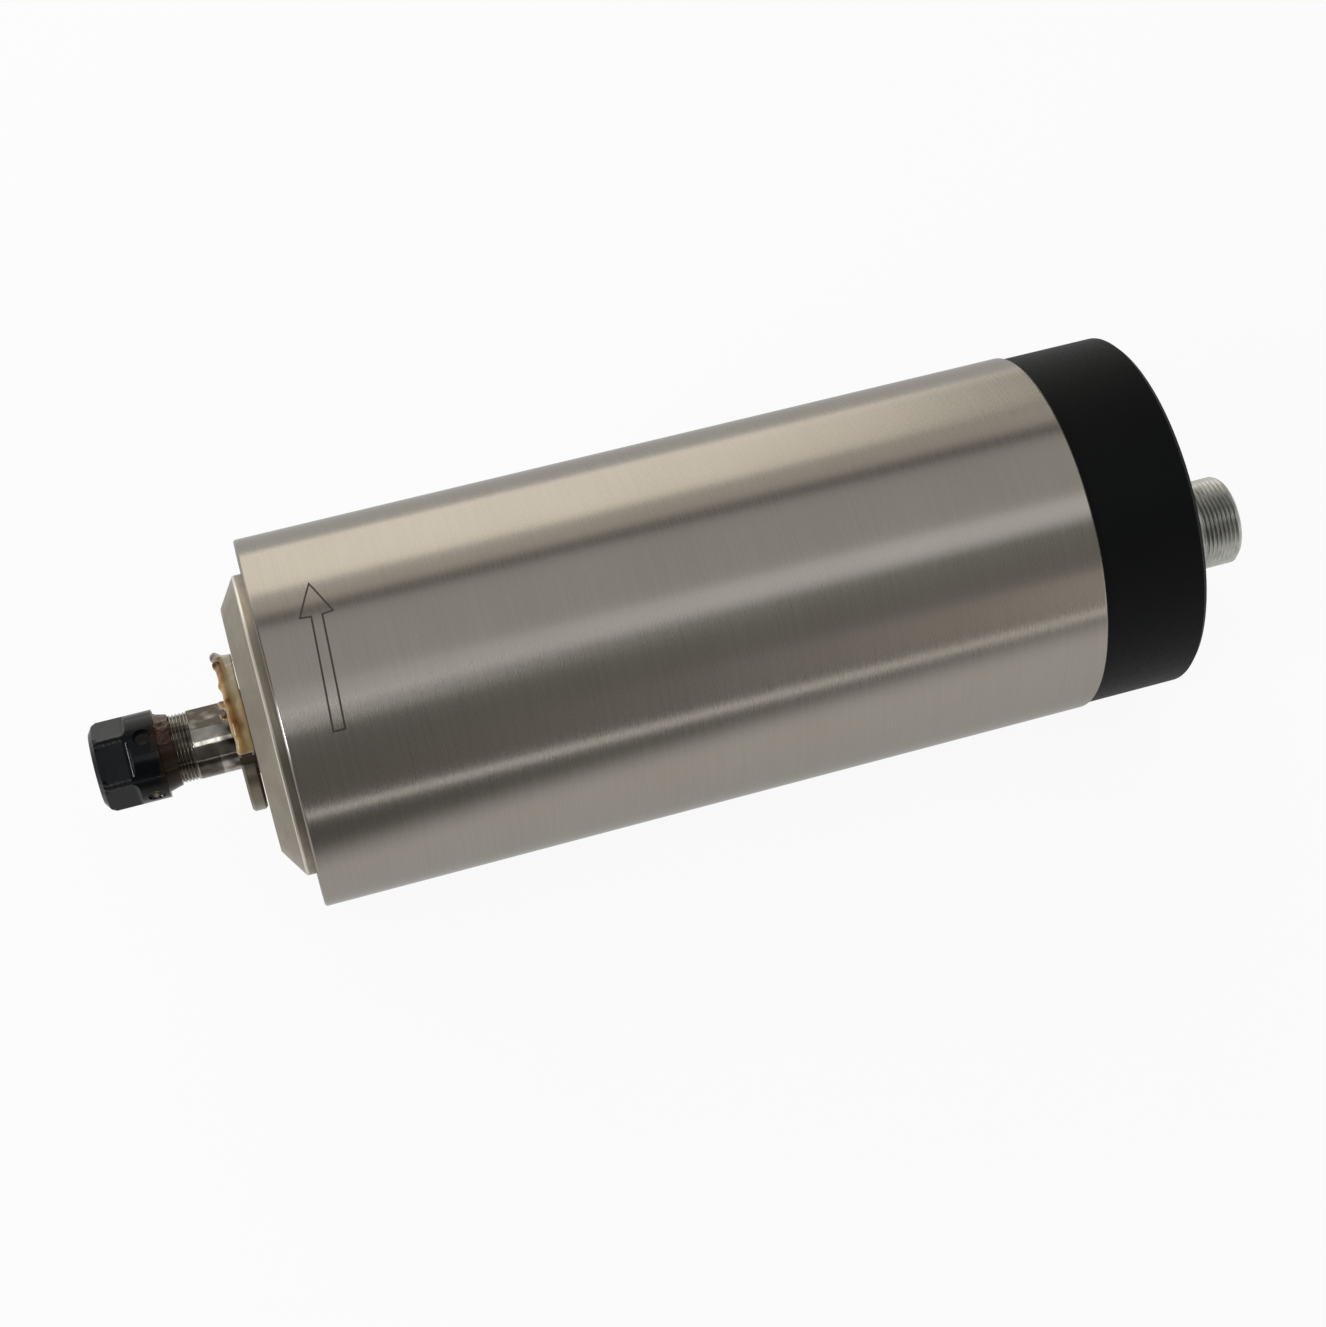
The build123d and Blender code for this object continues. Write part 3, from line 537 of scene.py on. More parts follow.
def flatten(x, r, a):
    """The radius where the two wrench flats cross the neck: a plane at distance h from the axis
    leaves h / cos(angle from its middle)."""
    from_flat = from_nearest(a, FLATS_TURNED, 2)
    plane = HALF_FLATS / np.cos(np.clip(from_flat, -1.3, 1.3))
    return np.where((x > FLATS_START) & (x < FLATS_END), np.minimum(r, plane), r)


def cut_shaft(x, r, a):
    """Cuts the thread into the nose and the two flats into the neck behind it."""
    outside = (r > 7.0) & (x > THREAD_START - 0.2) & (x < FLATS_END)
    thread = v_thread(x, a, PITCH, THREAD_DEPTH, THREAD_START, THREAD_END)
    r = np.where(outside, r - thread, r)
    return np.where(outside, flatten(x, r, a), r)


print("thread of", round((THREAD_END - THREAD_START) / PITCH), "turns")

# %% [markdown]
# Behind the nose the shaft is a plain profile of steps for sleeve, rotor, rear bearing and fan,
# and inside its front end is the collet's taper. Only the threaded nose needs fine rows, ten to
# each turn of the thread.

# %% Shaft mesh
shaft_rest = soften([
    (-95.6, 7.4), (-95.6, 7.48), (-69.0, 7.48), (-69.0, 9.4), (-65.0, 9.4), (-65.0, 9.0),
    (58.0, 9.0), (58.0, 9.4), (62.0, 9.4), (62.0, 7.48), (75.0, 7.48), (75.0, 6.5),
    (77.0, 6.5), (77.0, 5.0), (88.9, 5.0), (88.9, 2.05), (76.9, 2.05), (76.9, 0.0),
    (-82.6, 0.0), (-82.6, 3.6), (-105.6, 3.6), (-105.6, 3.692), (-118.6, 5.519),
    (-118.6, 7.0), (-118.2, 7.4),
], 0.1)
thread_x = np.arange(-118.1, -104.21, PITCH / 10)
neck_x = [-104.205, -104.195, *np.linspace(-104.0, -96.05, 24), -96.005, -95.995]
shaft_nose = constant_radius(np.concatenate([thread_x, neck_x]), NECK_RADIUS)
flat_turn = np.arccos(HALF_FLATS / NECK_RADIUS)
flat_part, round_part = np.linspace(0, flat_turn, 23), np.linspace(flat_turn, TURN / 4, 39)
quarter = np.concatenate([flat_part[:-1], round_part[:-1]])
half_turn = np.concatenate([quarter, [TURN / 4], TURN / 2 - quarter[:0:-1]])
shaft_angles = np.concatenate([half_turn, half_turn + TURN / 2]) + FLATS_TURNED
shaft_points = turn(np.concatenate([shaft_nose, shaft_rest]), shaft_angles, cut_shaft)
shaft_mesh = surface("spindle_shaft", shaft_points)
print("thread rows", len(thread_x))

# %% [markdown]
# The neck is ground bright, but old oil has browned the wrench flats, the thread's roots and the
# corner at the dust ring. A `stain` value marks those places, where a brown varnish covers the
# steel, so the finish mixes in a second colour and takes some of the metal away. The same value
# and colour paint shade on the neck's lower side.

# %% Shaft finish
# Ground steel: a clean mirror with a faint blur round it. Old oil dries to a brown varnish, and the
# same brown is painted shade on the neck's lower side.
tree, shader = start_material("shaft_steel", "ground steel with old oil", "#A19B92", 1.0, 0.14)
stained = add_node(tree, "Attribute", attribute_name="stain").outputs["Fac"]
# this brown is oil varnish on the flats and painted shade on the neck's lower side
varnish_and_shade = add_node(tree, "Mix", {0: pattern(tree, 0.8, span=WHOLE), 6: linear("#281F14"),
                                 7: linear("#3A3020")}, data_type="RGBA").outputs[2]
metal = add_node(tree, "MapRange", {"Value": stained, "To Min": 1.0, "To Max": 0.8})
plug(shader, {"Metallic": metal})
# Grinding marks are about 0.02 mm apart, too fine to show, so they are drawn at 0.3 mm.
dress(shader, ("#8A857D", (pattern(tree, 3.5, span=WHOLE), "#ABA69E"), (stained, varnish_and_shade)),
      pattern(tree, 0.3, 9.0, 2.0, (0.09, 0.17)), (pattern(tree, 1.6), 0.006))

# %% [markdown]
# The oil lies where it is not wiped away: on the flats, in the thread's roots and close to the dust
# ring. The neck's lower side, turned away from its highlight, gets the same brown as painted shade.

# %% Shaft stains and painted shade
RING_CORNER = -99.5              # mm: where the brown near the dust ring starts
shaft = add_piece(shaft_mesh, "rotor", "shaft_steel", ["shaft"], crisp=28)
x, r, a = lathe_place(shaft.data)
on_flat = np.abs(from_nearest(a, FLATS_TURNED, 2)) < flat_turn + 0.01
on_flat &= (x > FLATS_START - 0.05) & (x < FLATS_END)
in_thread = (x > THREAD_START) & (x < THREAD_END) & (r > 6.5)
near_ring = ~in_thread & ~on_flat & (x > RING_CORNER) & (x < -95)
blotch = ripple(x * 0.7, a * 5, 8)
# the neck's lower side, turned away from its highlight, is painted darker: painted shade, not oil
past_neck_highlight = (np.degrees(a) - 127 + 180) % 360 - 180
below = np.clip(past_neck_highlight / 30, 0, 1) * np.clip((160 - past_neck_highlight) / 40, 0, 1)
stain = np.where(on_flat & (r > 6), 1.0 + 0.4 * blotch, 0.85 * below + 0.2 * blotch)
stain = np.where(in_thread, 0.05 + (NECK_RADIUS - r) * 1.5 + 0.2 * blotch, stain)
stain = np.where(near_ring, (x - RING_CORNER) / 4 + 0.6 * blotch, stain)
mark(shaft.data, "stain", stain)
print("points on the flats:", int(on_flat.sum()))

# %% [markdown]
# ## Cable socket: nickel-plated thread
# The socket stands off the axis, so it is turned round X like the rest and then moved aside. Its
# thread has a 1 mm pitch, and a small key inside stops the plug from turning.

# %% Socket surface
SOCKET_ANGLE, SOCKET_OFFSET = np.radians(213.0), 7.1
SOCKET_RADIUS, SOCKET_BORE, CHAMFER_X = 10.0, 8.2, 128.9
SOCKET_START, SOCKET_END, SOCKET_PITCH, SOCKET_DEPTH = 120.0, 129.3, 1.0, 0.34
KEY_START, KEY_END, KEY_HALF, KEY_REACH = 122.6, 128.9, 1.0, 7.42


def cut_socket(x, r, a):
    """Cuts the thread outside, and stands the key in the bore where |r sin a| < 1 mm."""
    thread = v_thread(x, a, SOCKET_PITCH, SOCKET_DEPTH, SOCKET_START, SOCKET_END)
    r = np.where((r > 8.95) & (x > 119.9), r - thread, r)
    key = (r < 8.3) & (x > KEY_START) & (x < KEY_END)
    key &= (np.abs(r * np.sin(a)) < KEY_HALF) & (np.cos(a) > 0)
    return np.where(key, KEY_REACH / np.cos(np.where(key, a, 0)), r)


# the bore has a row just inside and just outside each end of the key
socket_rest = soften([
    (130.0, 8.9), (130.0, SOCKET_BORE), (128.95, SOCKET_BORE), (128.85, SOCKET_BORE),
    (122.65, SOCKET_BORE), (122.55, SOCKET_BORE), (100.0, SOCKET_BORE), (100.0, 9.0),
    (109.0, 9.0), (109.0, 10.4), (120.0, 10.4), (120.0, SOCKET_RADIUS),
], 0.12)
chamfer_x = np.arange(CHAMFER_X, 129.95, 0.1)
socket_profile = np.concatenate([
    constant_radius(np.arange(120.1, CHAMFER_X, 0.1), SOCKET_RADIUS),
    np.stack([chamfer_x, SOCKET_RADIUS - (chamfer_x - CHAMFER_X)], -1), socket_rest,
])
socket_points = turn(socket_profile, even_angles(288), cut_socket)
# move it off the axis, then turn it to its angle on the cover
y, z = socket_points[..., 1] + SOCKET_OFFSET, socket_points[..., 2].copy()
socket_points[..., 1] = y * np.cos(SOCKET_ANGLE) - z * np.sin(SOCKET_ANGLE)
socket_points[..., 2] = y * np.sin(SOCKET_ANGLE) + z * np.cos(SOCKET_ANGLE)
socket_mesh = surface("cable_socket", socket_points)
print("socket", socket_points.shape[0], "rows of", socket_points.shape[1], "points")

# %% [markdown]
# The shell is turned steel, bead-blasted and nickel-plated. The plate is yellower and softer than
# chrome, and the blasting breaks its mirror into an even satin. Relief alone would make it
# sparkle, so most of the satin is roughness that varies from place to place.

# %% Socket finish
# Nickel plate over a blasted face: a metal whose mirror is spread evenly, lighter on high spots.
# Blasting grit leaves pits of about 0.1 mm, drawn at 0.3 mm so that they show.
tree, shader = start_material("connector_plating", "satin nickel plate", "#A3A29E", 1.0, 0.3)
dress(shader, ("#AEAEAA", (pattern(tree, 2.5, span=WHOLE), "#C8C7C0")),
      pattern(tree, 0.6, span=(0.32, 0.46)), (pattern(tree, 0.3), 0.002))
add_piece(socket_mesh, "stator", "connector_plating", ["connector_shell"])

# %% [markdown]
# ## Rust-proof grease
# The nose leaves the works smeared with amber grease. A brush leaves a thin film, and it gathers
# into a bead where it is dragged over a corner. A liquid simulation would settle flat, which
# grease never does. Here each smear is a closed skin: a path over the metal carried round the
# axis, with a height at every point. Where the height falls below zero the skin dips under the
# metal, which gives the smear its ragged edge.

# %% Grease skin
SUNK, UNDERSIDE = 0.12, 0.15     # mm under the metal: the skin where no grease is, and its back
COLUMNS, ROWS = 220, 72


def step(x, low, high):
    """A smooth step from 0 at `low` to 1 at `high`: t*t*(3 - 2t)."""
    t = np.clip((x - low) / (high - low), 0, 1)
    return t * t * (3 - 2 * t)


def grease_skin(path, first, last, height, metal=None):
    """A closed skin over metal. The path's (x, r) corners are divided into even steps s in mm,
    and the turn between two angles into even steps a in degrees. The upper side stands
    height(s, a) above the metal along the path's smoothed normal, and the lower side lies
    `UNDERSIDE` mm inside it. `metal(x, r, a)` may lower the metal's radius, as a flat does."""
    path = np.asarray(path, float)
    run = np.concatenate([[0], np.cumsum(np.linalg.norm(np.diff(path, axis=0), axis=1))])
    s = np.linspace(0, run[-1], ROWS)
    base = np.stack([np.interp(s, run, path[:, i]) for i in (0, 1)], -1)
    way = np.gradient(base, axis=0)
    padded = np.pad(np.stack([way[:, 1], -way[:, 0]], -1), ((3, 3), (0, 0)), "edge")
    normal = np.stack([np.convolve(padded[:, i], np.ones(7) / 7, "valid") for i in (0, 1)], -1)
    normal = (normal / np.linalg.norm(normal, axis=1, keepdims=True))[:, None]
    degrees = np.linspace(first, last, COLUMNS)
    angle = np.radians(degrees)
    swing = np.linspace(0, 1, COLUMNS)[None, :]
    swing = np.minimum(swing, 1 - swing) * COLUMNS
    share = (s / run[-1])[:, None]
    share = np.minimum(share, 1 - share) * ROWS
    edge = np.clip(np.minimum(swing / 6, share / 2), 0, 1)
    lift = np.maximum(height(s[:, None], degrees[None, :]), -SUNK) * edge - SUNK * (1 - edge)
    close = np.clip(swing, 0, 1)
    x, r = base[:, None, 0], np.broadcast_to(base[:, None, 1], lift.shape)
    if metal is not None:
        r = metal(x, r, angle[None, :])
    sides = [(x + normal[..., 0] * up * close, r + normal[..., 1] * up * close)
             for up in (lift, -UNDERSIDE)]
    x, r = (np.concatenate([sides[0][i], sides[1][i][::-1]]) for i in (0, 1))
    points = np.transpose(round_axis(x, r, angle), (1, 0, 2))
    return points, np.concatenate([lift, lift[::-1]]).T


print("half way up a step:", step(0.5, 0, 1))

# %% [markdown]
# A thin film of grease lets the metal show through and looks pale, and a thick bead swallows the
# light and looks dark brown. Each point stores how thick the grease is, and a colour ramp turns
# that into colour. It is wet, so it mirrors sharply, but thick old grease has a duller skin.

# %% Grease finish
# Amber grease: pale and wet where thin, dark brown where thick.
tree, shader = start_material("grease", "amber rust-proof grease", "#A97F43", 0.0, 0.15, IOR=1.42)
thick = add_node(tree, "Attribute", attribute_name="thick").outputs["Fac"]
cloudy = add_node(tree, "Math", {0: thick, 1: pattern(tree, 3.0, span=(-0.05, 0.05))},
                  operation="ADD", use_clamp=True)
ramp = add_node(tree, "ValToRGB", {0: cloudy})
stops = ramp.color_ramp.elements
stops[0].color, stops[1].color = linear("#A89D84"), linear("#341A0B")
for position, color in ((0.2, "#B8A27A"), (0.5, "#A5814C"), (0.8, "#774819")):
    stops.new(position).color = linear(color)
plug(shader, {"Base Color": ramp})
dull = add_node(tree, "MapRange", {"Value": thick, "From Min": 0.5, "To Min": 0.13, "To Max": 0.28})
dress(shader, roughness=dull, relief=(pattern(tree, 1.8), 0.02))


def add_grease(name, body, slot, least, full_depth, *shape):
    """Makes one smear. Each point stores how thick the grease is there, as a share of the depth
    at which the colour is full. `least` is the share that even a thin edge of old grease has."""
    points, lift = grease_skin(*shape)
    mesh = surface(name, points, wrap_rows=False)
    mark(mesh, "thick", (least + lift / full_depth).ravel())
    add_piece(mesh, body, slot, finish="grease", crisp=80)


print("shades of grease:", len(stops))

# %% [markdown]
# On the dust ring it is a film over the rim and part of the face, with a bead along the rim's
# front edge, where the brush was dragged off. Five drops sit near the bead.

# %% Grease on the dust ring
# (mm along the path, degrees round, mm high)
RING_DROPS = (3.5, 62, 0.55), (3.0, 99, 0.35), (4.2, 84, 0.45), (2.0, 118, 0.3), (4.0, 44, 0.4)


def ring_height(s, a):
    """A film over the rim and part way down the face, and a bead on the rim's front edge, which
    stands highest where the brush came off at the back."""
    turned_to = np.radians(a)
    slow, quick = ripple(s * 0.5, turned_to * 6, 5), ripple(s * 1.1, turned_to * 14, 6)
    reach = 4.6 + 5.5 * step(a, 22, 62) * (1 - step(a, 92, 134))
    reach = reach + 1.2 * ripple(0 * s, turned_to * 9, 7)
    film = 0.17 + 0.06 * slow + 0.03 * quick + 0.2 * step(a, 92, 116)
    film = film * (1 - 0.5 * step(s, 4.0, 6.0)) * (1 - step(s, reach - 1.8, reach))
    crest = np.interp(a, [22, 27, 36, 52, 66, 84, 104, 122, 136, 144],
                      [1.3, 1.5, 1.0, 0.75, 0.95, 0.35, 0.5, 0.4, 0.3, 0.1])
    middle = np.interp(a, [22, 60, 100, 140], [3.7, 3.4, 3.0, 2.7])
    bead = crest * (1 + 0.3 * slow + 0.12 * quick) * np.exp(-((s - middle) / 0.72) ** 2)
    for at, way, size in RING_DROPS:
        bead = bead + size * np.exp(-((s - at) / 0.6) ** 2 - ((a - way) / 3.2) ** 2)
    ragged = a + 5 * ripple(s * 0.8, 0 * a, 9) * step(s, 3.6, 5.0)
    ends = step(ragged, 17, 23) * (1 - step(ragged, 136.5, 139))
    return (film + bead + 0.06) * ends - SUNK


ring_path = [(-92.15, 16.3), (-92.4, 16.8), (-95.1, 16.8), (-95.6, 16.3), (-95.6, 7.6)]
add_grease("ring_grease", "rotor", "dark_ring_steel", 0.0, 1.15, ring_path, 14, 140, ring_height)

# %% [markdown]
# At the neck it fills the corner against the ring and follows the wrench flats, so its skin needs
# to know how far they lower the metal. Behind the nut it lies in old dark blotches.

# %% Grease at the neck and behind the nut
def neck_height(s, a):
    """Thick in the corner at the ring, with a few drops that run forward along the neck."""
    turned_to = np.radians(a)
    slow, quick = ripple(s * 0.6, turned_to * 5, 21), ripple(s * 1.6, turned_to * 14, 22)
    reach = 1.6 + 1.3 * ripple(0 * s, turned_to * 5, 23) + 0.8 * np.exp(-((a - 76) / 9) ** 2)
    swell = 0.25 + 0.3 * np.exp(-((a - 80) / 12) ** 2)
    ends = step(a, 26, 36) * (1 - step(a, 94, 104))
    height = (swell + 0.15 * slow + 0.05 * quick) * (1 - step(s, reach - 0.8, reach))
    return (height + 0.06) * ends - SUNK


def cone_height(s, a):
    """Blotches on the cone behind the nut, where the thread threw its oil."""
    turned_to = np.radians(a)
    slow, quick = ripple(s * 0.7, turned_to * 6, 41), ripple(s * 1.8, turned_to * 16, 42)
    ends = step(a, 24, 38) * (1 - step(a, 104, 122))
    return (0.17 + 0.14 * slow + 0.05 * quick) * ends - SUNK


neck_path = [(-95.62, 7.4), (-101.4, 7.4)]
cone_path = [(-108.35, 7.62), (-111.15, 8.4), (-111.2, 9.2)]
add_grease("neck_grease", "rotor", "shaft_steel", 0.2, 0.5, neck_path, 22, 108, neck_height,
           flatten)
add_grease("nut_grease", "nut", "black_oxide_steel", 0.9, 0.5, cone_path, 20, 124, cone_height)

# %% [markdown]
# ## Finishes of the other parts
# The remaining parts keep their engineering shapes. The nose flange is steel, faced on a lathe and
# left matte. A highlight is painted into its colour at the corner between cone and rim. That corner
# is a circle in space, so the finish measures each point's distance from it and paints what is
# nearer than 0.5 mm lighter. The mesh needs no mark for that.

# %% Nose flange
# Faced mild steel: fine rings that spread the light into a soft sheen, with a highlight painted
# lighter at the corner of cone and rim.
EDGE_X, EDGE_RADIUS = -88.0, 32.7        # mm: the corner between the cone and the rim
tree, shader = start_material("nose_steel", "steel, fine faced, matte", "#9F9686", 1.0, 0.42)
place = add_node(tree, "TexCoord").outputs["Object"]
split = add_node(tree, "SeparateXYZ", {0: place}).outputs
flat = add_node(tree, "CombineXYZ", {1: split[1], 2: split[2]})
reach = add_node(tree, "VectorMath", {0: flat}, operation="LENGTH").outputs["Value"]
gap = add_node(tree, "VectorMath", {
    0: add_node(tree, "CombineXYZ", {0: split[0], 1: reach}), 1: (EDGE_X * MM, EDGE_RADIUS * MM, 0),
}, operation="DISTANCE").outputs["Value"]
# painted highlight: the colour is made lighter within 0.5 mm of the corner
painted_edge_highlight = add_node(tree, "MapRange", {
    "Value": gap, "From Min": 0.25 * MM, "From Max": 0.5 * MM, "To Min": 0.85, "To Max": 0.0,
})
# The feed of a facing cut is about 0.1 mm, drawn at 0.35 mm so that it shows.
dress(shader, ("#8D8374", (pattern(tree, 9, span=WHOLE), "#9E9586"), (painted_edge_highlight, "#E6E0D4")),
      pattern(tree, 0.35, 6.0, 2.0, (0.36, 0.5)), (pattern(tree, 0.35, 6.0, 2.0), 0.002))

# %% [markdown]
# Sleeves, plates and washers are plain turned steel. The dust ring is turned too, but oil has
# soaked into its marks and browned it. Grooves in the mesh would take millions of faces, so rings
# in the gloss and a very shallow relief stand for them.

# %% Turned steel
# Turned mild steel: rings that catch the light one by one. Real feeds of 0.1 mm are drawn at
# 0.3 and 0.4 mm here, because finer rings would blur away.
tree, shader = start_material("turned_steel", "turned mild steel", "#A19D96", 1.0, 0.3)
dress(shader, roughness=pattern(tree, 0.4, 6.0, 2.0, (0.22, 0.4)),
      relief=(pattern(tree, 0.4, 6.0, 2.0), 0.003))

# The same steel under old oil: darker, browner, with soft patches 7 mm across.
tree, shader = start_material("dark_ring_steel", "turned steel, oil-darkened", "#8E877B", 1.0, 0.3)
dress(shader, ("#5F5849", (pattern(tree, 7, span=WHOLE), "#7E7567")),
      relief=(pattern(tree, 0.3, 6.0, 2.0), 0.0008))

# %% [markdown]
# The rear cover is aluminium, blasted and black anodised: the dye sits in a thin glassy layer over
# a rough face, so matte that it shows almost no highlight. The low IOR stands for that face, whose
# pits trap what a smooth black would mirror. Roughness alone would leave it grey.

# %% Cover
# Black anodised aluminium: near black, with a wide weak sheen. Blasting pits of 0.1 mm are
# drawn at 0.25 mm so that they show.
tree, shader = start_material("cover_black", "black anodised aluminium, matte", "#070808", 0.0, 0.45,
                              IOR=1.22)
dress(shader, ("#060707", (pattern(tree, 14, span=WHOLE), "#090A0A")),
      pattern(tree, 0.5, span=(0.5, 0.62)), (pattern(tree, 0.25), 0.006))

# %% [markdown]
# Two more blacks differ in how they mirror. A screw's oxide is a skin on metal, so its highlight
# is dark metal. Moulded nylon mirrors white and softly, and its glass fibres make the face faintly
# uneven.

# %% Black screws and mouldings
# Black oxide on steel screws: a thin skin, so some of the metal's own mirror is left.
tree, shader = start_material("black_screw_steel", "black oxide screw", "#202122", 0.6, 0.35)
dress(shader, roughness=pattern(tree, 0.6, span=(0.28, 0.45)), relief=(pattern(tree, 0.4), 0.004))

# Moulded nylon: soft white highlights on dark grey. Fibres 0.01 mm thick are drawn at 0.5 mm.
tree, shader = start_material("fan_plastic insert_plastic", "glass-filled nylon, moulded", "#1C1D1E",
                              0.0, 0.48)
dress(shader, ("#18191A", (pattern(tree, 1.5, span=WHOLE), "#222325")),
      relief=(pattern(tree, 0.5), 0.01))

# %% [markdown]
# The motor frame is extruded, so the die has drawn fine lines along it. The rear housing and the
# rotor's end rings are cast, so their face is softly dimpled where the metal froze on the mould.
# Noise drawn out along the axis gives the lines, and plain noise the dimples.

# %% Aluminium
# Extruded aluminium: bright, with die lines along the axis, drawn about 0.5 mm apart.
DIE_LINES, DIE_LENGTH = 0.45, 50.0
tree, shader = start_material("frame_aluminium", "extruded aluminium", "#C2C2C1", 1.0, 0.35)
dress(shader, roughness=pattern(tree, DIE_LINES, None, 2.0, (0.28, 0.44), DIE_LENGTH),
      relief=(pattern(tree, DIE_LINES, detail=2.0, length=DIE_LENGTH), 0.004))

# Die-cast aluminium: greyer and duller than the extrusion, with dimples under 1 mm.
tree, shader = start_material("cast_aluminium", "die-cast aluminium", "#B9B9B7", 1.0, 0.45)
dress(shader, roughness=pattern(tree, 1.2, span=(0.36, 0.55)), relief=(pattern(tree, 0.7), 0.02))

# %% [markdown]
# The core is a stack of punched steel sheets, and the winding is copper wire in clear enamel. A
# wave pattern draws both, one band per sheet and one per wire. It makes a band in about 0.314
# units at a scale of 1, so the scale is 0.314 / the spacing. On the winding the band also paints
# shade: each wire's colour darkens towards the gaps between turns.

# %% Core and winding
SHEET, WIRE, BAND = 0.5, 0.9, 0.314      # mm, mm, and a wave band at a scale of 1
# Stacked laminations: bright edges and dark varnish between them.
tree, shader = start_material("lamination_steel", "stacked steel laminations", "#77787A", 1.0, 0.4)
place = add_node(tree, "TexCoord").outputs["Object"]
sheets = add_node(tree, "TexWave", {"Vector": place, "Scale": BAND / (SHEET * MM)},
                  wave_type="BANDS", bands_direction="X").outputs["Fac"]
dress(shader, ("#4E4F52", (sheets, "#8C8D8E")), relief=(sheets, 0.04))

# Enamelled copper: the enamel is a clear coat over orange-brown metal. Its colour darkens towards
# the gaps between wires, as painted shade.
tree, shader = start_material("copper_winding", "enamelled copper wire", "#9A4A1E", 0.6, 0.25,
                              Coat_Weight=0.6, Coat_Roughness=0.1)
place = add_node(tree, "TexCoord").outputs["Object"]
wires = add_node(tree, "TexWave", {
    "Vector": place, "Scale": BAND / (WIRE * MM), "Distortion": 2.0, "Detail": 1.0,
}, wave_type="BANDS", bands_direction="DIAGONAL").outputs["Fac"]
dress(shader, ("#5E2A10", (wires, "#B4632F")), relief=(wires, 0.25))

# %% [markdown]
# Ground races and lapped balls are the smoothest faces in the machine: nearly mirrors. Only their
# gloss varies, because in such a mirror even a faint relief looks like waves. The cages are
# phenolic resin on woven cotton, which looks like brown card.

# %% Bearings
# Ground races: a mirror with a trace of rings, drawn at 0.2 mm, about ten times the real
# spacing, so that they show.
tree, shader = start_material("bearing_steel", "bearing steel, ground", "#BDBDBA", 1.0, 0.12)
dress(shader, roughness=pattern(tree, 0.2, 6.0, 2.0, (0.08, 0.18)))

# Lapped balls: a clean mirror with no direction.
tree, shader = start_material("ball_steel", "bearing balls, lapped", "#CFCFCD", 1.0, 0.05)
dress(shader, roughness=pattern(tree, 1.0, span=(0.03, 0.08)))

# Phenolic on cotton: matte brown, mottled by a weave of 0.5 mm.
tree, shader = start_material("cage_plastic", "phenolic cage, woven", "#7E5A30", 0.0, 0.45)
dress(shader, ("#6A4822", (pattern(tree, 0.5, span=WHOLE), "#96703F")),
      relief=(pattern(tree, 0.4), 0.01))

# %% [markdown]
# The collet is hardened spring steel, ground inside and out so that it seats true, which leaves
# fine rings. The socket's pins are brass with a flash of gold against tarnish. They are too small
# to show a relief, so only their gloss varies.

# %% Collet and pins
# Ground spring steel: a satin mirror with fine rings, drawn at 0.25 mm so that they show.
tree, shader = start_material("collet_steel", "spring steel, ground", "#A5A29C", 1.0, 0.2)
dress(shader, roughness=pattern(tree, 0.25, 6.0, 2.0, (0.15, 0.28)),
      relief=(pattern(tree, 0.25, 6.0, 2.0), 0.002))

# Gold flash on brass: a warm yellow metal, smooth, slightly uneven where it was plated.
tree, shader = start_material("pin_brass", "gold-flashed brass pin", "#C9A24E", 1.0, 0.2)
dress(shader, roughness=pattern(tree, 0.5, span=(0.15, 0.28)))

# %% [markdown]
# The record of the spindle names a material slot for every part. Each finish above was stored
# under its slots, so one loop can dress the whole frame and no part is forgotten.

# %% Give each part its finish
for part in frame["record"]["subparts"]:
    node = frame["nodes"][part["node"]]
    node.data.materials.clear()
    node.data.materials.append(finishes[part["material_slot"]])

# %% [markdown]
# ## Floor, world and lamps
# Metal shows what stands around it, so the pale floor matters twice: the camera sees it, and so
# does the jacket. It is white to the camera, and its mirror image darkens some way in front of the
# spindle, as at the edge of a bench. To every other ray it is plain paint, so the spindle's shadow
# stays.

# %% Floor paint
# Matte studio paint: even and pale, with no highlight of its own.
GLOW, NEAR, FAR = 0.92, 0.83, 0.11       # share that glows, and how bright its mirror image is
EDGE_AWAY, EDGE_SLANT, EDGE_LEAST = 0.2, 0.9, 0.11   # m in front at x = 0, m more per m of x, m
DARK_AT, BRIGHT_AT = -1.12, -0.62        # how far in front, as shares of the edge's distance
tree, shader = start_material("floor", "pale studio floor", "#F2F2F2", 0.0, 0.8)
rays = add_node(tree, "LightPath").outputs
split = add_node(tree, "SeparateXYZ", {0: add_node(tree, "TexCoord").outputs["Object"]}).outputs
edge = add_node(tree, "Math", {0: split[0], 1: EDGE_SLANT, 2: EDGE_AWAY}, operation="MULTIPLY_ADD")
edge = add_node(tree, "Math", {0: edge, 1: EDGE_LEAST}, operation="MAXIMUM")
reach = add_node(tree, "Math", {0: split[1], 1: edge}, operation="DIVIDE")
near = add_node(tree, "MapRange", {"Value": reach, "From Min": DARK_AT, "From Max": BRIGHT_AT,
                                   "To Min": FAR, "To Max": NEAR})
mirror_ray = add_node(tree, "Math", {0: rays["Is Glossy Ray"], 1: rays["Is Transmission Ray"]},
                      operation="MAXIMUM")
image = add_node(tree, "Math", {0: mirror_ray, 1: near}, operation="MULTIPLY")
strength = add_node(tree, "Math", {0: rays["Is Camera Ray"], 1: image}, operation="MAXIMUM")
white = add_node(tree, "Emission", {"Color": (1, 1, 1, 1), "Strength": strength})
seen = add_node(tree, "Math", {0: rays["Is Camera Ray"], 1: mirror_ray}, operation="MAXIMUM")
share = add_node(tree, "Math", {0: seen, 1: GLOW}, operation="MULTIPLY")
mix = add_node(tree, "MixShader", {0: share, 1: shader, 2: white})
plug(next(node for node in tree.nodes if node.type == "OUTPUT_MATERIAL"), {"Surface": mix})
print("floor paint in", len(tree.nodes), "nodes")

# %% [markdown]
# The floor is one large square just under the jacket. A plain face is enough, because its edges
# lie far outside the view.

